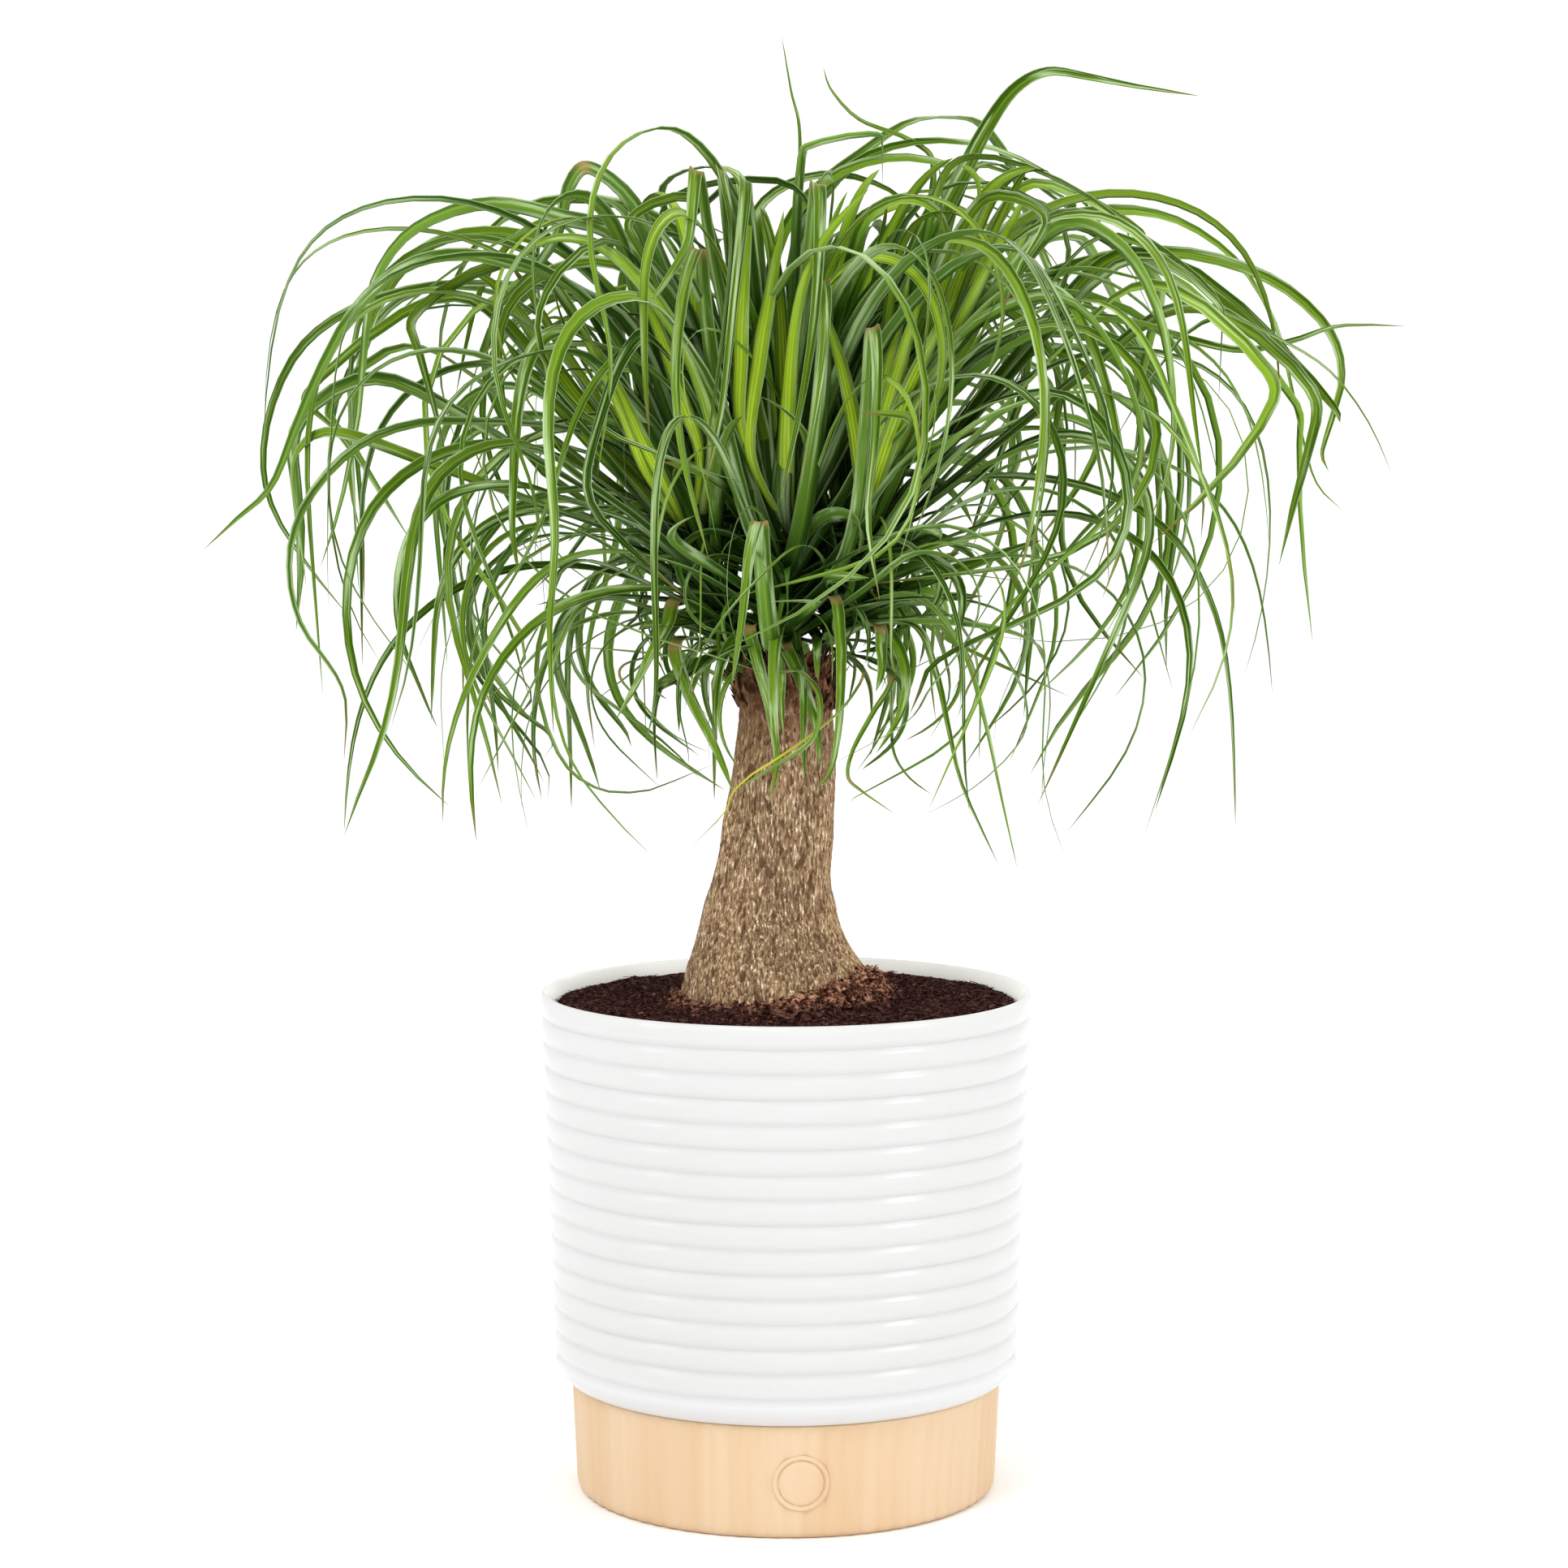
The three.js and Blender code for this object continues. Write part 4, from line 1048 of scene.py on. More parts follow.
# keeps a leaf inside its head's share of the crown and off the trunk
def bentClear(path, index, width):
    head = heads[index]
    bent = []
    for i, p in enumerate(path):
        s = i / crown["steps"]
        r = math.hypot(p.x, p.y)
        half = 0.5 * width * widthShare(s)
        off = (math.degrees(math.atan2(p.y, p.x)) - head["turn"] + 180) % 360 - 180
        margin = math.degrees(math.atan2(half + crown["keepOff"], max(r, 12)))
        if off >= 0:
            limit = 45 + borderWave(index, r, p.z) - margin
        else:
            limit = 45 - borderWave((index - 1) % 4, r, p.z) - margin
        off = math.copysign(limit * softLimit(abs(off) / limit), off)
        if p.z < 362 and s > 0.3:
            r = max(r, crown["trunkClear"])
        turn = math.radians(head["turn"] + off)
        bent.append(Vector((r * math.cos(turn), r * math.sin(turn), p.z)))
    return bent


# leaves chosen one by one, the same ones as the solids have: points in millimetres
chosen = [
    dict(head=3, level=0.62, width=9, points=[(-38, -25, 506), (-70, -30, 555), (-97, -32, 566),
         (-129, -35, 572), (-160, -38, 561), (-177, -40, 539), (-182, -42, 509), (-185, -44, 478),
         (-192, -46, 443), (-201, -46, 415)]),
    dict(head=3, level=0.4, width=8, points=[(-61, 10, 503), (-97, 15, 533), (-133, 18, 538),
         (-166, 20, 536), (-195, 20, 526), (-216, 20, 510), (-229, 20, 485), (-233, 18, 459),
         (-228, 14, 438), (-214, 8, 416), (-194, 0, 392)]),
    dict(head=3, level=0.5, width=8.5, points=[(-59, -40, 506), (-93, -55, 535), (-120, -65, 545),
         (-140, -70, 548), (-160, -76, 543), (-180, -82, 526), (-195, -86, 500), (-206, -88, 475),
         (-216, -90, 451), (-231, -92, 437), (-244, -94, 425)]),
    dict(head=3, level=0.8, width=9.5, points=[(-39, -8, 506), (-54, -12, 545), (-67, -16, 574),
         (-85, -22, 588), (-94, -27, 579), (-99, -32, 558), (-111, -36, 540), (-125, -40, 525),
         (-129, -42, 506)]),
    dict(head=3, level=0.56, width=8.5, points=[(-54, 35, 506), (-84, 50, 539), (-106, 58, 557),
         (-136, 64, 563), (-163, 70, 557), (-182, 76, 538), (-193, 80, 514), (-200, 84, 485),
         (-202, 86, 451), (-197, 84, 425)]),
    dict(head=3, level=0.34, width=9, points=[(-63, -20, 456), (-94, -35, 474), (-128, -48, 477),
         (-155, -58, 477), (-177, -66, 470), (-194, -72, 456), (-206, -76, 437), (-210, -78, 416),
         (-205, -78, 392), (-188, -74, 364), (-189, -70, 333)]),
    dict(head=3, level=0.3, width=9.5, points=[(-59, -45, 478), (-77, -62, 505), (-92, -75, 516),
         (-105, -86, 509), (-111, -94, 488), (-112, -98, 461), (-108, -100, 434), (-95, -98, 414)]),
    dict(head=3, level=0.24, width=8, points=[(-59, -35, 429), (-86, -60, 443), (-113, -78, 451),
         (-139, -92, 448), (-155, -100, 434), (-162, -104, 411), (-159, -104, 384), (-139, -98, 349)]),
    dict(head=1, level=0.86, width=10, points=[(29, 10, 485), (55, 20, 542), (77, 30, 584), (89, 34, 607),
         (102, 36, 625), (117, 38, 633), (135, 40, 631), (157, 42, 627), (186, 44, 623)]),
    dict(head=1, level=0.5, width=8.5, points=[(33, 0, 449), (76, 0, 499), (115, 5, 522), (148, 10, 522),
         (177, 15, 514), (203, 18, 509), (225, 20, 513), (247, 22, 520), (277, 24, 520)]),
    dict(head=1, level=0.55, width=8, points=[(40, -20, 464), (81, -30, 520), (119, -38, 542),
         (154, -45, 538), (185, -50, 525), (212, -55, 512), (232, -58, 499), (248, -60, 478),
         (259, -60, 455)]),
    dict(head=1, level=0.66, width=8, points=[(40, 10, 478), (84, 18, 524), (127, 25, 546),
         (168, 32, 553), (201, 38, 548), (227, 42, 536), (246, 44, 517), (251, 44, 497), (246, 42, 477),
         (242, 40, 463), (245, 38, 455)]),
    dict(head=1, level=0.74, width=9, points=[(26, 18, 492), (59, 30, 539), (99, 40, 561), (132, 48, 570),
         (158, 52, 572), (183, 56, 565), (207, 60, 547), (224, 62, 518), (232, 62, 485), (241, 58, 451),
         (254, 56, 437)]),
    dict(head=1, level=0.44, width=10, points=[(39, -25, 464), (74, -45, 513), (104, -62, 553),
         (124, -72, 561), (143, -82, 548), (155, -90, 524), (160, -95, 495), (158, -98, 468),
         (146, -98, 438)]),
    dict(head=1, level=0.36, width=10.5, points=[(32, -30, 443), (56, -50, 492), (79, -68, 529),
         (96, -80, 536), (111, -92, 524), (118, -100, 498), (123, -104, 468), (129, -106, 438),
         (126, -104, 404)]),
    dict(head=1, level=0.22, width=8, points=[(25, -20, 393), (53, -48, 402), (73, -66, 382),
         (83, -76, 351), (89, -80, 321), (95, -82, 288)]),
    dict(head=1, level=0.28, width=9, points=[(40, 0, 435), (83, 5, 452), (130, 10, 449), (167, 12, 431),
         (189, 12, 398), (198, 10, 358), (201, 6, 297)]),
    dict(head=0, level=0.86, width=10, points=[(-15, -40, 436), (-24, -48, 506), (-35, -54, 557),
         (-40, -60, 583), (-40, -74, 575), (-42, -86, 552), (-52, -94, 537), (-64, -100, 525)]),
    dict(head=0, level=0.9, width=10, points=[(-12, -36, 450), (-22, -42, 520), (-27, -46, 564),
         (-29, -52, 585), (-26, -66, 575), (-23, -76, 553), (-27, -84, 512), (-34, -88, 464)]),
    dict(head=0, level=0.95, width=11, points=[(-8, -36, 450), (-13, -42, 520), (-17, -48, 561),
         (-18, -56, 580), (-18, -72, 570), (-22, -84, 532), (-27, -92, 485), (-34, -96, 451)]),
    dict(head=0, level=0.88, width=10.5, points=[(-3, -40, 450), (6, -46, 513), (11, -52, 557),
         (13, -58, 578), (14, -74, 566), (12, -86, 525), (6, -92, 485), (-3, -95, 444)]),
    dict(head=0, level=0.55, width=10, points=[(-15, -45, 429), (-29, -58, 485), (-35, -66, 526),
         (-37, -74, 550), (-42, -88, 537), (-46, -100, 502), (-43, -106, 465), (-32, -108, 421)]),
    dict(head=0, level=0.6, width=10, points=[(6, -45, 429), (14, -54, 478), (17, -62, 519),
         (16, -70, 537), (17, -84, 525), (14, -94, 495), (6, -100, 451)]),
    dict(head=0, level=0.3, width=9, points=[(22, -48, 412), (31, -58, 438), (34, -68, 474),
         (36, -80, 516), (38, -96, 505), (37, -106, 471), (34, -110, 438), (39, -110, 404)]),
    dict(head=0, level=0.2, width=10, points=[(-6, -60, 381), (-10, -78, 416), (-11, -90, 436),
         (-15, -104, 424), (-18, -112, 398), (-23, -112, 367)]),
    dict(head=0, level=0.08, width=4.5, points=[(-3, -46, 370), (6, -62, 371), (14, -74, 361),
         (11, -80, 344), (-6, -82, 332), (-22, -80, 322)]),
    dict(head=2, level=0.92, width=4, points=[(2, 40, 499), (4, 44, 557), (6, 46, 605), (2, 46, 626),
         (-2, 46, 650)]),
    dict(head=2, level=0.8, width=4, points=[(23, 60, 492), (60, 80, 559), (68, 86, 594), (57, 84, 606),
         (34, 82, 615), (21, 80, 628), (17, 80, 639)]),
    dict(head=2, level=0.7, width=10, points=[(4, 45, 492), (12, 70, 573), (34, 84, 598), (57, 92, 614),
         (76, 100, 617), (99, 108, 614), (130, 118, 596), (165, 128, 578), (197, 136, 557),
         (222, 140, 531), (232, 140, 492)]),
]

# leaves close to the viewer, again one by one; one is yellow
nearLeaves = [
    # hanging in front of the trunk
    dict(head=0, level=0.12, width=7, points=[(-15, -40, 390), (-13, -47, 378), (-8, -49, 359),
         (-5, -47, 343), (-4, -43, 329), (-7, -40, 314)]),
    dict(head=0, level=0.08, width=6, points=[(-5, -44, 383), (-2, -50, 370), (-2, -50, 356),
         (-1, -48, 342)]),
    dict(head=0, level=0.1, width=7.5, points=[(-1, -44, 382), (6, -50, 367), (12, -52, 351),
         (14, -50, 338), (14, -48, 329)]),
    dict(head=0, level=0.16, width=7, points=[(19, -50, 403), (23, -58, 384), (23, -60, 363),
         (22, -58, 344), (19, -54, 328), (13, -52, 320)]),
    dict(head=1, level=0.1, width=1.4, yellow=0.8, points=[(33, -58, 373), (26, -64, 358), (14, -66, 347),
         (-1, -64, 336), (-15, -62, 327), (-23, -60, 319), (-26, -58, 311), (-34, -56, 302),
         (-41, -54, 295)]),
    dict(head=3, level=0.06, width=9.5, points=[(-46, -30, 383), (-43, -32, 363), (-34, -32, 344),
         (-27, -31, 328), (-23, -30, 316)]),
    dict(head=3, level=0.14, width=4, points=[(-71, -14, 371), (-61, -14, 352), (-49, -14, 340),
         (-33, -14, 332)]),
    dict(head=3, level=0.22, width=7, points=[(-87, -40, 418), (-104, -44, 390), (-107, -44, 362),
         (-97, -42, 332), (-81, -40, 319), (-61, -38, 318), (-44, -34, 324), (-31, -30, 329)]),
    dict(head=3, level=0.18, width=6, points=[(-78, -60, 402), (-97, -66, 381), (-99, -66, 360),
         (-91, -64, 332), (-75, -62, 310), (-57, -60, 291)]),
    dict(head=1, level=0.12, width=3.6, points=[(45, -22, 368), (37, -28, 350), (29, -30, 335),
         (27, -30, 323), (34, -28, 316), (48, -24, 306)]),
    dict(head=1, level=0.16, width=6, points=[(42, -10, 378), (46, -10, 353), (47, -10, 333),
         (54, -10, 321), (65, -10, 313)]),
    dict(head=1, level=0.2, width=6, points=[(53, -50, 391), (64, -56, 370), (69, -58, 349),
         (76, -58, 321), (92, -56, 287)]),
    dict(head=1, level=0.24, width=5, points=[(75, -30, 393), (99, -34, 369), (104, -34, 344),
         (85, -32, 321), (58, -30, 305)]),
    dict(head=3, level=0.1, width=9, points=[(-45, -34, 400), (-51, -44, 390), (-59, -46, 376),
         (-66, -44, 362), (-74, -40, 349)]),
    dict(head=1, level=0.08, width=9, points=[(38, -30, 390), (41, -36, 379), (41, -38, 369),
         (39, -38, 361)]),
    # over the top, behind the hearts
    dict(head=2, level=0.9, width=7.5, points=[(0, 40, 500), (-6, 52, 548), (14, 62, 583), (48, 70, 597),
         (84, 76, 590), (112, 82, 566), (128, 86, 536)]),
    dict(head=2, level=0.88, width=7, points=[(10, 34, 500), (14, 40, 540), (34, 46, 570), (66, 52, 581),
         (98, 60, 572), (124, 66, 548), (138, 70, 516)]),
    dict(head=2, level=0.86, width=7.5, points=[(6, 50, 500), (4, 62, 552), (26, 72, 590), (60, 84, 605),
         (100, 92, 601), (136, 98, 580), (160, 102, 548)]),
    dict(head=2, level=0.84, width=6.5, points=[(16, 44, 490), (30, 58, 540), (58, 70, 575),
         (92, 80, 584), (128, 90, 573), (158, 96, 549), (176, 100, 512)]),
    dict(head=2, level=0.82, width=7, points=[(-6, 44, 490), (-20, 56, 540), (-12, 66, 575),
         (16, 76, 590), (48, 84, 583), (70, 90, 560)]),
    # young hearts
    dict(head=3, level=0.96, width=11, young=1, points=[(-59, -50, 454), (-68, -62, 478), (-79, -68, 502),
         (-89, -70, 521)]),
    dict(head=3, level=0.98, width=10, young=1, points=[(-52, -52, 450), (-61, -64, 469), (-71, -72, 492),
         (-81, -76, 512)]),
    dict(head=3, level=0.9, width=9, young=0.5, points=[(-31, -52, 464), (-35, -64, 490), (-47, -68, 517),
         (-64, -66, 540), (-80, -62, 553), (-97, -58, 556), (-111, -54, 550), (-121, -50, 537)]),
    dict(head=3, level=0.94, width=10, young=1, points=[(-37, -46, 462), (-44, -56, 486), (-52, -58, 511),
         (-62, -54, 534), (-72, -48, 548)]),
    dict(head=0, level=0.97, width=12, young=1, points=[(-19, -54, 470), (-20, -60, 506), (-19, -58, 529),
         (-17, -52, 552), (-15, -46, 572)]),
    dict(head=0, level=0.99, width=12, young=0.9, points=[(-16, -54, 464), (-12, -60, 506),
         (-8, -56, 529), (-4, -50, 552), (-1, -44, 568)]),
    dict(head=1, level=0.96, width=12, young=1, points=[(37, -46, 446), (41, -60, 471), (47, -68, 496),
         (53, -68, 518), (58, -62, 536)]),
    dict(head=1, level=0.98, width=12, young=1, points=[(37, -48, 446), (45, -62, 473), (55, -72, 498),
         (65, -72, 518), (73, -66, 533)]),
    dict(head=1, level=0.97, width=10, young=1, points=[(36, -44, 448), (40, -54, 474), (44, -60, 500),
         (49, -60, 524), (53, -54, 542)]),
    dict(head=1, level=0.94, width=10.5, young=0.9, points=[(32, -48, 450), (30, -60, 471),
         (25, -66, 496), (19, -64, 516), (13, -58, 532)]),
    dict(head=1, level=0.9, width=9, young=0.6, points=[(39, -42, 450), (50, -62, 474), (63, -72, 498),
         (76, -74, 514)]),
]

# finer leaves between the large ones: a fan opens round each head's own axis, hearts first
fans = dict(
    # lean of each head's fan from upright, as the photograph shows it
    leans=[5.0, 19.0, 8.0, 38.0],
    forward=[8.0, 14.0, 0.0, 14.0],
    rightward=[0.0, 0.0, 12.0, 0.0],
    # how much longer each head's leaves grow
    spread=[1.0, 1.3, 1.1, 1.05],
    # how many more leaves each head's rings have
    more=[1.0, 1.3, 1.15, 0.74],
    seed=61,
    # how far sway, twist and hook spread, in degrees
    sway=130,
    twist=170,
    hook=210,
    lowest=(288, 360),  # heights that tips may hang down to
    shortest=60,
    keptOpen=(36, 362),  # half width and top of the trunk's part that fine leaves don't cross
    # opening from the axis, length, width, where and how sharply it bends, its last slope
    rings=[
        dict(count=6, open=(2, 12), length=(110, 180), width=(8.5, 11), bendAt=(0.7, 0.9),
             bendHalf=(0.3, 0.4), end=(70, 50), level=(1.0, 0.95), young=1.0, faceAxis=True, inFront=1.0),
        dict(count=14, open=(9, 32), length=(240, 350), width=(7.5, 10.5), bendAt=(0.6, 0.78),
             bendHalf=(0.1, 0.3), end=(-85, -150), level=(0.97, 0.8), young=0.15, faceAxis=True,
             inFront=0.15),
        dict(count=13, open=(18, 80), length=(60, 120), width=(8.5, 12.0), bendAt=(0.5, 0.8),
             bendHalf=(0.4, 0.5), end=(20, -70), level=(0.75, 0.1), young=0.0, faceAxis=True,
             inFront=1.0),
        dict(count=26, open=(26, 70), length=(290, 430), width=(4.2, 7.8), bendAt=(0.42, 0.58),
             bendHalf=(0.28, 0.5), end=(-105, -175), level=(0.85, 0.55), young=0.1, faceAxis=False,
             inFront=0.2),
        dict(count=16, open=(58, 98), length=(220, 400), width=(3.4, 6.4), bendAt=(0.42, 0.6),
             bendHalf=(0.35, 0.5), end=(-90, -150), level=(0.6, 0.3), young=0.0, faceAxis=False,
             inFront=0.45),
        dict(count=5, open=(80, 120), length=(60, 160), width=(5.0, 8.0), bendAt=(0.4, 0.7),
             bendHalf=(0.3, 0.5), end=(-80, -150), level=(0.3, 0.0), young=0.0, faceAxis=False,
             inFront=0.2),
        # thin curling wisps
        dict(count=11, open=(15, 75), length=(150, 330), width=(1.5, 2.8), bendAt=(0.35, 0.6),
             bendHalf=(0.3, 0.5), end=(-60, -190), level=(0.9, 0.3), young=0.35, faceAxis=False,
             inFront=1.0),
    ],
)


# a path that starts along a direction and bends over in the upright plane that holds it
def archedPath(start, direction, leaf, length):
    steps = crown["steps"]
    flat = Vector((direction.x, direction.y, 0)).normalized()
    rise = math.asin(max(-1.0, min(1.0, direction.z)))
    turn = math.atan2(flat.y, flat.x)
    at = start.copy()
    path = [at.copy()]
    for i in range(steps):
        s = (i + 0.5) / steps
        bend = smooth(leaf["bendAt"] - leaf["bendHalf"], leaf["bendAt"] + leaf["bendHalf"], s)
        slope = mix(rise, math.radians(leaf["end"]), bend)
        heading = turn + math.radians(leaf["sway"] * s * s + leaf["hook"] * smooth(0.55, 1.0, s))
        at = at + (length / steps) * slopeVector(slope, heading)
        path.append(at.copy())
    return path


# a tip may hang lower away from the trunk than beside it
def endsTooLow(tip, lowest):
    return tip.z < mix(385, lowest, smooth(55, 120, math.hypot(tip.x, tip.y)))


# the leaves of one head's fan: each opens from the axis by its ring's angles
def fineLeaves(index):
    head = heads[index]
    lean = math.radians(fans["leans"][index])
    turn = math.radians(head["turn"])
    axis = Vector((math.sin(lean) * math.cos(turn), math.sin(lean) * math.sin(turn), math.cos(lean)))
    forward, rightward = (math.sin(math.radians(fans[key][index])) for key in ("forward", "rightward"))
    axis = (axis + Vector((rightward, -forward, 0))).normalized()
    first = axis.cross(Vector((-math.sin(turn), math.cos(turn), 0))).normalized()
    second = axis.cross(first)
    draw = makeRandom(fans["seed"] + 131 * index)
    leaves = []
    for ring in fans["rings"]:
        count = round(ring["count"] * fans["more"][index])
        for i in range(count):
            rank = (i + draw()) / count
            opening = math.radians(mix(*ring["open"], rank))
            around = 2 * math.pi * ((i * crown["goldenShare"]) % 1) + (draw() - 0.5) * 0.5
            outward = first * math.cos(around) + second * math.sin(around)
            direction = (axis * math.cos(opening) + outward * math.sin(opening)).normalized()
            leaf = dict(level=mix(*ring["level"], rank), bendAt=mix(*ring["bendAt"], draw()),
                        bendHalf=mix(*ring["bendHalf"], draw()), end=mix(*ring["end"], draw()),
                        sway=(draw() - 0.5) * fans["sway"], width=mix(*ring["width"], draw()),
                        young=ring["young"], twist=(draw() - 0.5) * fans["twist"],
                        side=axis.cross(direction) if ring["faceAxis"] else None,
                        taper=0.48 if ring["width"][1] > 3 else 0.3)
            leaf["hook"] = (draw() - 0.5) * fans["hook"]
            length = fans["spread"][index] * mix(*ring["length"], draw())
            lowest = mix(*fans["lowest"], draw())
            # few leaves hang between the hearts and the viewer
            keeps = draw() < ring["inFront"]
            start = stemPoint(head, leaf["level"])
            start += outward * mix(stem["footRadius"], stem["topRadius"], leaf["level"]) * 0.5
            path = archedPath(start, direction, leaf, length)
            while endsTooLow(path[-1], lowest) and length > fans["shortest"]:
                length *= 0.95
                path = archedPath(start, direction, leaf, length)
            toFront = -direction.y / max(math.hypot(direction.x, direction.y), 0.01)
            aside, top = fans["keptOpen"]
            hidesTrunk = any(p.y < 0 and abs(p.x) < aside and p.z < top for p in path)
            if hidesTrunk or (toFront > 0.6 or outward.y < -0.45) and not keeps:
                continue
            leaf["path"] = path
            leaves.append(leaf)
    return leaves


hold = dict(
    trunkClear=32.0,
    free=150,  # the crown's reach begins to hold leaves here
    depth=42,
    toRight=122,
    toLeft=94,
    domeLeft=596,
    domeRight=620,
    domeFall=92,
    domeSoft=60,
)


# a fine leaf stays outside the trunk, inside the crown's reach and under its dome
def heldIn(path):
    held = []
    free, soft = hold["free"], hold["domeSoft"]
    for i, p in enumerate(path):
        r = math.hypot(p.x, p.y)
        low = hold["trunkClear"] if p.z < 366 and i > 8 else 0.0
        aside = hold["toRight"] if p.x > 0 else hold["toLeft"]
        reach = mix(hold["depth"], aside, (p.x / max(r, 1.0)) ** 2)
        over = (r - free) / reach
        wanted = free + reach * math.tanh(over) if over > 0 else max(r, low)
        share = wanted / max(r, 1.0)
        dome = mix(hold["domeLeft"], hold["domeRight"], smooth(-30, 80, p.x))
        dome -= hold["domeFall"] * (wanted / 200) ** 2
        z = p.z if p.z < dome - soft else dome - soft + soft * math.tanh((p.z - dome + soft) / soft)
        held.append(Vector((p.x * share, p.y * share, z)))
    return held


# direction and side at each point, turned little by little along the blade
def bladeFrames(path, twist, side=None):
    last = len(path) - 1
    sides = []
    for i in range(last + 1):
        direction = (path[min(i + 1, last)] - path[max(i - 1, 0)]).normalized()
        if side is None:
            side = Vector((-direction.y, direction.x, 0))
        side = (side - direction * side.dot(direction)).normalized()
        s = i / last
        sides.append(Matrix.Rotation(math.radians(twist * smooth(0.05, 0.6, s)), 3, direction) @ side)
    return sides


# how deep inside the crown a point lies, from 0 to 1
def insideShade(p):
    deepest = 0.0
    for middle, half, low, high in crown["shaded"]:
        distance = math.hypot(*((p[axis] - middle[axis]) / half[axis] for axis in range(3)))
        deepest = max(deepest, 1 - smooth(low, high, distance))
    return deepest


# places along a path, closer together where it bends
def stations(path, segments):
    along = [0.0]
    for i in range(1, len(path)):
        bend = 0.0
        if i + 1 < len(path):
            bend = (path[i] - path[i - 1]).angle(path[i + 1] - path[i], 0.0)
        along.append(along[-1] + (path[i] - path[i - 1]).length / 90 + bend)
    return list(np.interp(np.linspace(0, along[-1], segments + 1), along, range(len(path))))


def bladeLine(path, width, twist, segments, tone, young, dry, side=None, yellow=0.0, taper=0.62, creased=True,
              shade=1.0, foot=1.0):
    sides = bladeFrames(path, twist, side)
    folds = [0.0] * len(path)
    # a crease shows where the path turns sharply
    for i in range(2, len(path) - 2 if creased else 0):
        turned = (path[i] - path[i - 2]).angle(path[i + 2] - path[i], 0.0)
        folds[i] = smooth(0.45, 1.1, turned * 12 / max((path[i + 2] - path[i - 2]).length, 1))
    line = []
    for place in stations(path, segments):
        i = min(int(place), len(path) - 2)
        f = place - i
        s = place / (len(path) - 1)
        half = 0.5 * width * widthShare(s, taper) * mix(foot, 1, smooth(0, 0.5, s))
        line.append(dict(
            point=path[i].lerp(path[i + 1], f),
            side=sides[i].lerp(sides[i + 1], f).normalized(),
            half=max(half, crown["thinnest"]),
            along=s, fold=mix(folds[i], folds[i + 1], f), tone=tone, young=young, dry=dry, yellow=yellow,
            inner=min(1.0, shade * insideShade(path[i])),
        ))
    return line


leafColors = dict(
    # the dark tone, also painted as shade on one half of each channel
    dark=(0.012, 0.046, 0.002, 1),
    light=(0.185, 0.300, 0.028, 1),
    # painted shade: the light green as it looks deep in the crown's shade
    innerShadeGreen=(0.145, 0.400, 0.010, 1),  # light leaves, deep in the crown
    # painted sheen: pale highlight streaks on the blades
    patch=(0.48, 0.61, 0.35, 1),
    # painted shade on the bases of old leaves and deep in the crown
    paintedShade=(0.006, 0.038, 0.001, 1),  # old bases, deep in the crown
    # painted highlight along the blades' edges
    edge=(0.47, 0.60, 0.32, 1),
    lime=(0.48, 0.65, 0.045, 1),
    underside=(0.20, 0.36, 0.09, 1),
    stripe=(0.28, 0.44, 0.08, 1),
    rib=(0.36, 0.50, 0.07, 1),
    root=(0.50, 0.56, 0.17, 1),
    folded=(0.42, 0.27, 0.13, 1),
    dryTip=(0.22, 0.17, 0.06, 1),
    yellow=(0.56, 0.52, 0.05, 1),
    sheen=(0.5, 0.85, 0.2, 1),
)


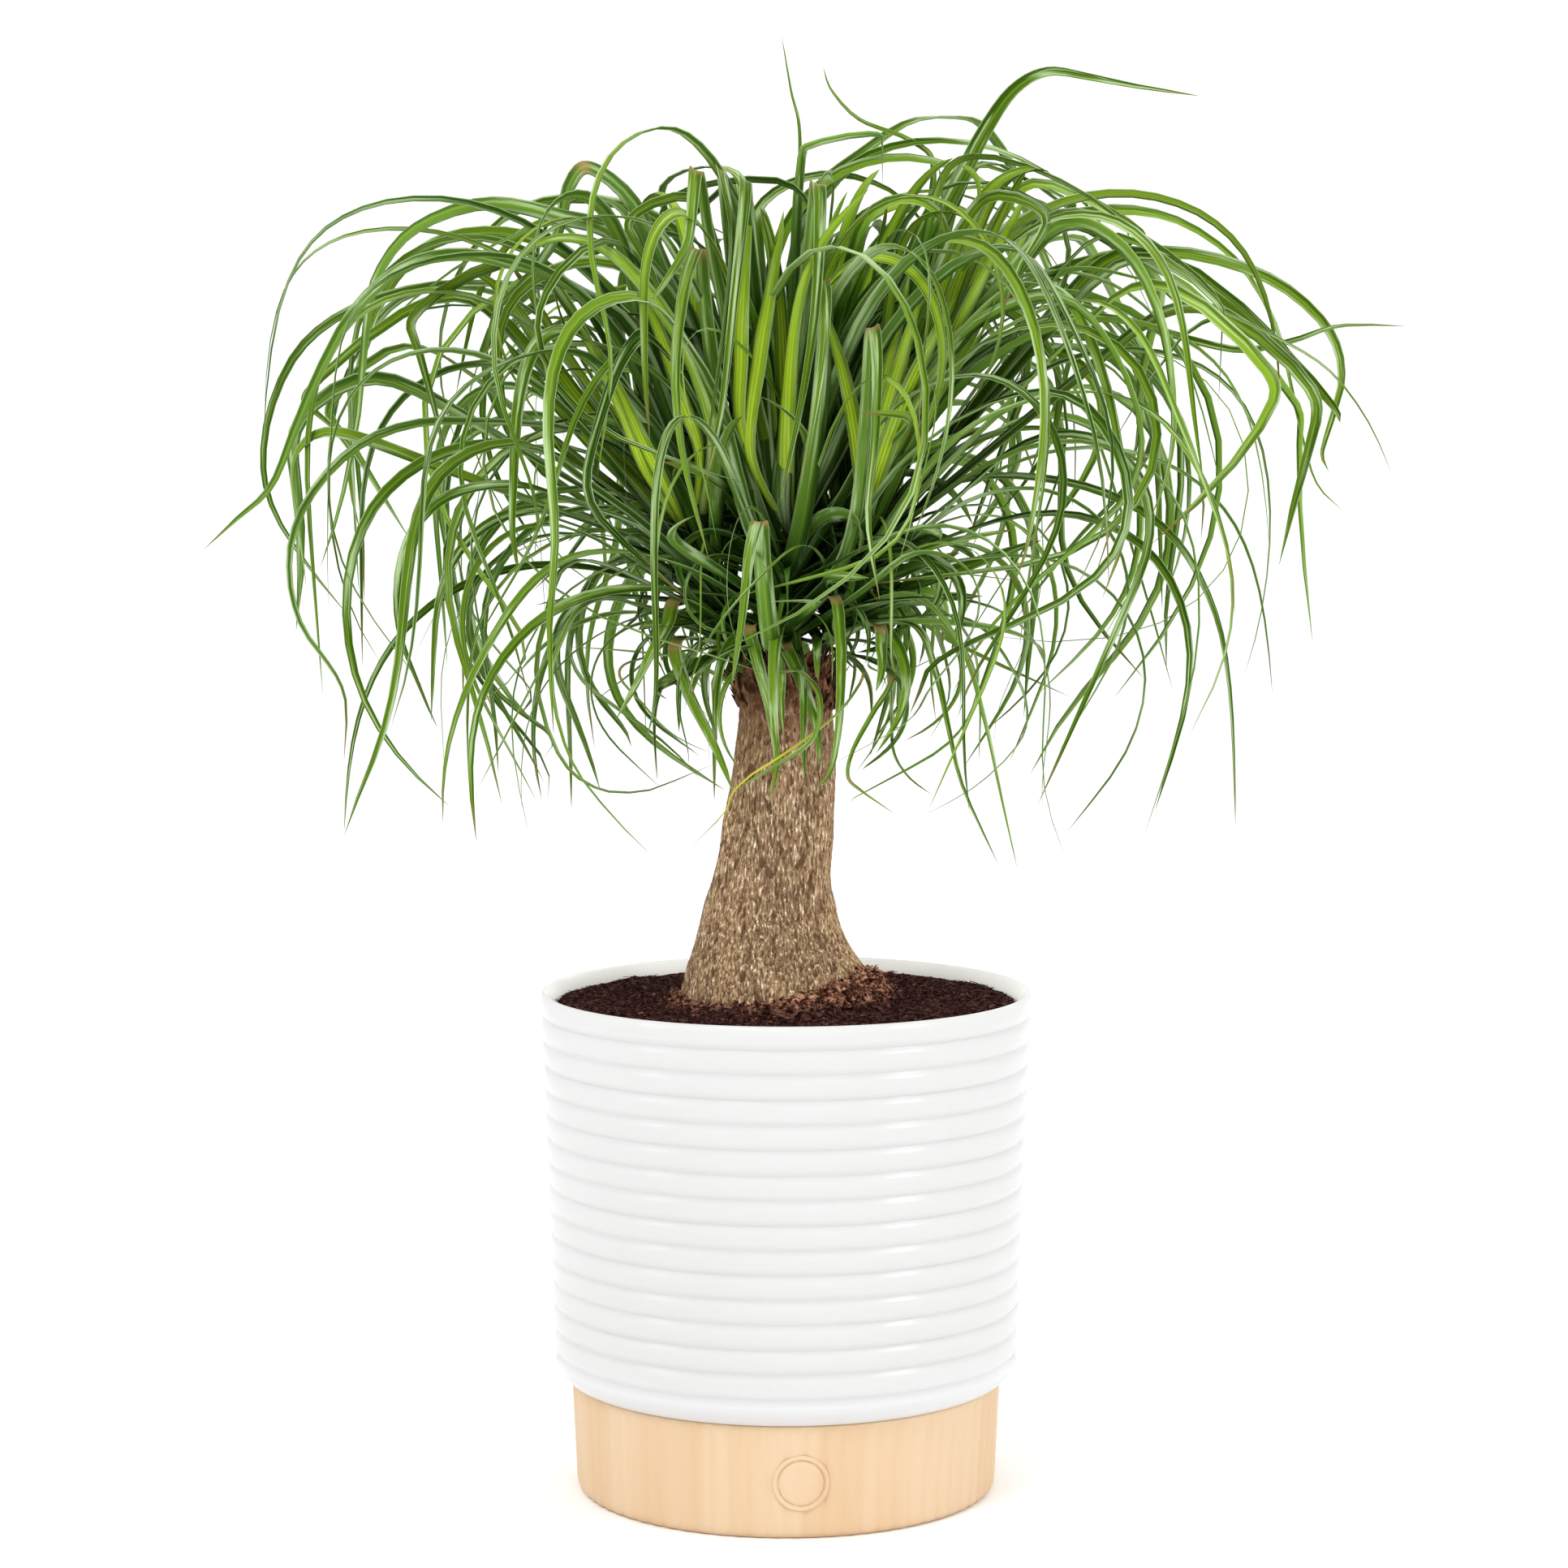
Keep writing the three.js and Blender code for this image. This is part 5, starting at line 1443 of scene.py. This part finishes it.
def leafGreen():
    material, tree, shader = newMaterial("leafGreen", 0.42, 0.05)
    shader.inputs["Specular Tint"].default_value = leafColors["sheen"]
    tone, young, along, across, inner, yellow = (
        stored(tree, name) for name in ("tone", "young", "along", "across", "inner", "yellow"))
    fromMiddle = calc(tree, "ABSOLUTE", across)
    old = calc(tree, "SUBTRACT", 1.0, young)
    veins = calc(tree, "SINE", times(tree, across, 15.0))
    stripes = calc(tree, "SINE", times(tree, across, 34.0))
    # young leaves are lime along the middle and green at their edges
    lime = times(tree, young, ramped(tree, along, 0.3, 1.0, 1.0, 0.15),
                 ramped(tree, fromMiddle, 0.35, 0.85, 1.0, 0.2), ramped(tree, veins, -0.2, 1.0, 1.0, 0.45))
    # painted shade: one half of the channel is darker, as if turned from the light; painted highlight: the
    # edges are pale, less so deep in the crown
    half = times(tree, ramped(tree, across, 0.05, 0.5), ramped(tree, young, 0.2, 0.8, 0.6, 0.15),
                 calc(tree, "SUBTRACT", 1.0, yellow))
    # painted highlight on the edges, weaker deep in the crown
    edge = times(tree, ramped(tree, fromMiddle, 0.82, 0.96, 0.0, 0.65),
                 ramped(tree, inner, 0.0, 0.8, 1.0, 0.6))
    # painted shade: bases and deep places are darker, except on young leaves
    shaded = calc(tree, "MAXIMUM", ramped(tree, along, 0.08, 0.36, 0.55, 0.0),
                  ramped(tree, inner, 0.0, 1.0, 0.0, 0.74))
    # painted sheen: pale highlight streaks follow each blade, fewer where the crown is deep
    place = nodeWith(tree, "ShaderNodeCombineXYZ", X=times(tree, tone, 90.0), Y=times(tree, along, 5.0),
                     Z=times(tree, across, 1.5))
    streak = nodeWith(tree, "ShaderNodeTexNoise", Vector=place.outputs[0], Scale=1.0, Detail=3.0)
    paintedSheen = times(tree, ramped(tree, inner, 0.0, 0.7, 1.0, 0.22),
                 ramped(tree, streak.outputs["Fac"], 0.48, 0.70, 0.0, 0.8),
                 ramped(tree, young, 0.2, 1.0, 1.0, 0.3))
    withinTip = times(tree, ramped(tree, along, 0.2, 0.5), ramped(tree, along, 0.86, 0.78))
    # from the bottom up
    layers = [
        ("lime", lime),
        ("underside", times(tree, stored(tree, "under"), old, 0.38)),
        # painted shade on one half of the channel
        ("dark", half),
        # painted highlight
        ("edge", edge),
        ("stripe", ramped(tree, stripes, 0.2, 1.0, 0.0, 0.12)),
        ("rib", ramped(tree, fromMiddle, 0.02, 0.16, 0.24, 0.0)),
        # painted shade
        ("paintedShade", times(tree, old, shaded)),
        # painted sheen
        ("patch", paintedSheen),
        ("root", times(tree, young, ramped(tree, along, 0.0, 0.12, 0.7, 0.0))),
        ("folded", times(tree, stored(tree, "fold"), 0.75)),
        ("yellow", times(tree, yellow, withinTip)),
        ("dryTip", times(tree, ramped(tree, along, 0.9, 0.99), stored(tree, "dry"))),
    ]
    # painted shade: light leaves deep in the crown take a deeper green
    light = colorMix(tree, leafColors["light"], leafColors["innerShadeGreen"], inner)
    color = colorMix(tree, leafColors["dark"], light, tone)
    for name, share in layers:
        color = colorMix(tree, color, leafColors[name], share)
    tree.links.new(color, shader.inputs["Base Color"])
    bumped(tree, shader, stripes, 0.12, 0.0003)
    return material


# leaf blades: a shallow channel swept along each line
def bladeTree():
    tree = newTree("blades", [
        ("Channel", "NodeSocketFloat", 0.22),
        ("Thickness", "NodeSocketFloat", 0.13),
        ("Section points", "NodeSocketInt", 10),
        ("Material", "NodeSocketMaterial", None),
    ])
    curve = nodeWith(tree, "GeometryNodeMeshToCurve", Mesh=inputOf(tree, "Geometry")).outputs[0]
    curve = nodeWith(tree, "GeometryNodeSetCurveNormal", {"mode": "FREE"}, Curve=curve,
                     Normal=named(tree, "side", "FLOAT_VECTOR")).outputs[0]
    ring = nodeWith(tree, "GeometryNodeCurvePrimitiveCircle", Resolution=inputOf(tree, "Section points"),
                    Radius=1.0).outputs[0]
    x, y = axesOf(tree, pointPlace(tree))[:2]
    rise = calc(tree, "ADD", times(tree, x, x, inputOf(tree, "Channel")),
                times(tree, y, inputOf(tree, "Thickness")))
    section = marked(tree, ring, "across", x)
    section = marked(tree, section, "under", calc(tree, "LESS_THAN", y, -0.01))
    section = nodeWith(tree, "GeometryNodeSetPosition", Geometry=section,
                       Position=nodeWith(tree, "ShaderNodeCombineXYZ", X=x, Y=rise).outputs[0])
    blades = nodeWith(tree, "GeometryNodeCurveToMesh", Curve=curve, Profile_Curve=section.outputs[0],
                      Scale=named(tree, "half"), Fill_Caps=True)
    smoothed = nodeWith(tree, "GeometryNodeSetShadeSmooth", Geometry=blades.outputs[0])
    endTree(tree, smoothed.outputs[0])
    return tree


def bladesObject(name, lines):
    points, edges = [], []
    plain = ("along", "fold", "tone", "young", "dry", "yellow", "inner")
    values = {key: [] for key in ("side", "half") + plain}
    for line in lines:
        for i, knot in enumerate(line):
            if i:
                edges.append((len(points) - 1, len(points)))
            points.append(tuple(knot["point"]))
            values["side"].append(tuple(knot["side"]))
            values["half"].append(knot["half"] * mm)
            for key in plain:
                values[key].append(knot[key])
    obj = meshObject(name, points, [], edges)
    for key, numbers in values.items():
        storeNumber(obj, key, numbers, "FLOAT_VECTOR" if key == "side" else "FLOAT")
    return obj


# all lines of one head: ordinary, chosen, near and fine leaves, and the stem's core
def headLines(index):
    head = heads[index]
    light, segments = head["light"], crown["segments"]
    draw = makeRandom(900 + index)
    lines = []
    for leaf in ordinaryLeaves(index):
        path = bentClear(leafPath(head, leaf), index, leaf["width"])
        young = smooth(0.8, 0.97, leaf["level"])
        lines.append(bladeLine(path, leaf["width"], 1.5 * leaf["twist"], segments["ordinary"],
                               light * draw(), young, 1.0 if draw() < crown["dryShare"] else 0.0))
    for leaf in chosen:
        if leaf["head"] == index:
            path = bentClear(chosenPath(head, leaf), index, leaf["width"])
            # leaves that arch across the view turn their face to it
            twist = 0.0 if index == 0 else (55 if draw() < 0.5 else -55)
            lines.append(bladeLine(path, leaf["width"], twist, segments["chosen"],
                                   light * mix(0.3, 0.9, draw()), 0.0, draw(), shade=0.3))
    for leaf in nearLeaves:
        if leaf["head"] == index:
            young = leaf.get("young", 0)
            lines.append(bladeLine(chosenPath(head, leaf), leaf["width"], 0.0, segments["near"],
                                   0.3 + 0.6 * draw(), young, 0.0, yellow=leaf.get("yellow", 0),
                                   shade=0.3, foot=mix(1, 0.3, young)))
    for leaf in fineLeaves(index):
        lines.append(bladeLine(heldIn(leaf["path"]), leaf["width"], leaf["twist"], segments["fine"],
                               light * draw(), leaf["young"], 1.0 if draw() < crown["dryShare"] else 0.0,
                               leaf["side"], taper=leaf["taper"], creased=False,
                               shade=mix(0.5, 1.4, draw())))
    stalk = [stemPoint(head, i / segments["stem"]) for i in range(segments["stem"] + 1)]
    lines.append(bladeLine(stalk, 2 * stem["footRadius"], 0.0, segments["stem"], 0.3, 0.3, 0.0))
    return lines


def makeHeads():
    tree = bladeTree()
    green = leafGreen()
    for index, head in enumerate(heads):
        obj = bladesObject(head["name"], headLines(index))
        grown(obj, tree, Channel=crown["channel"], Thickness=crown["thickness"],
              Section_points=crown["sectionPoints"], Material=green)
        dressed(obj, "leaf", head["node"])
        print(head["name"], len(obj.data.polygons), "faces")


makeHeads()
print("leaves made")
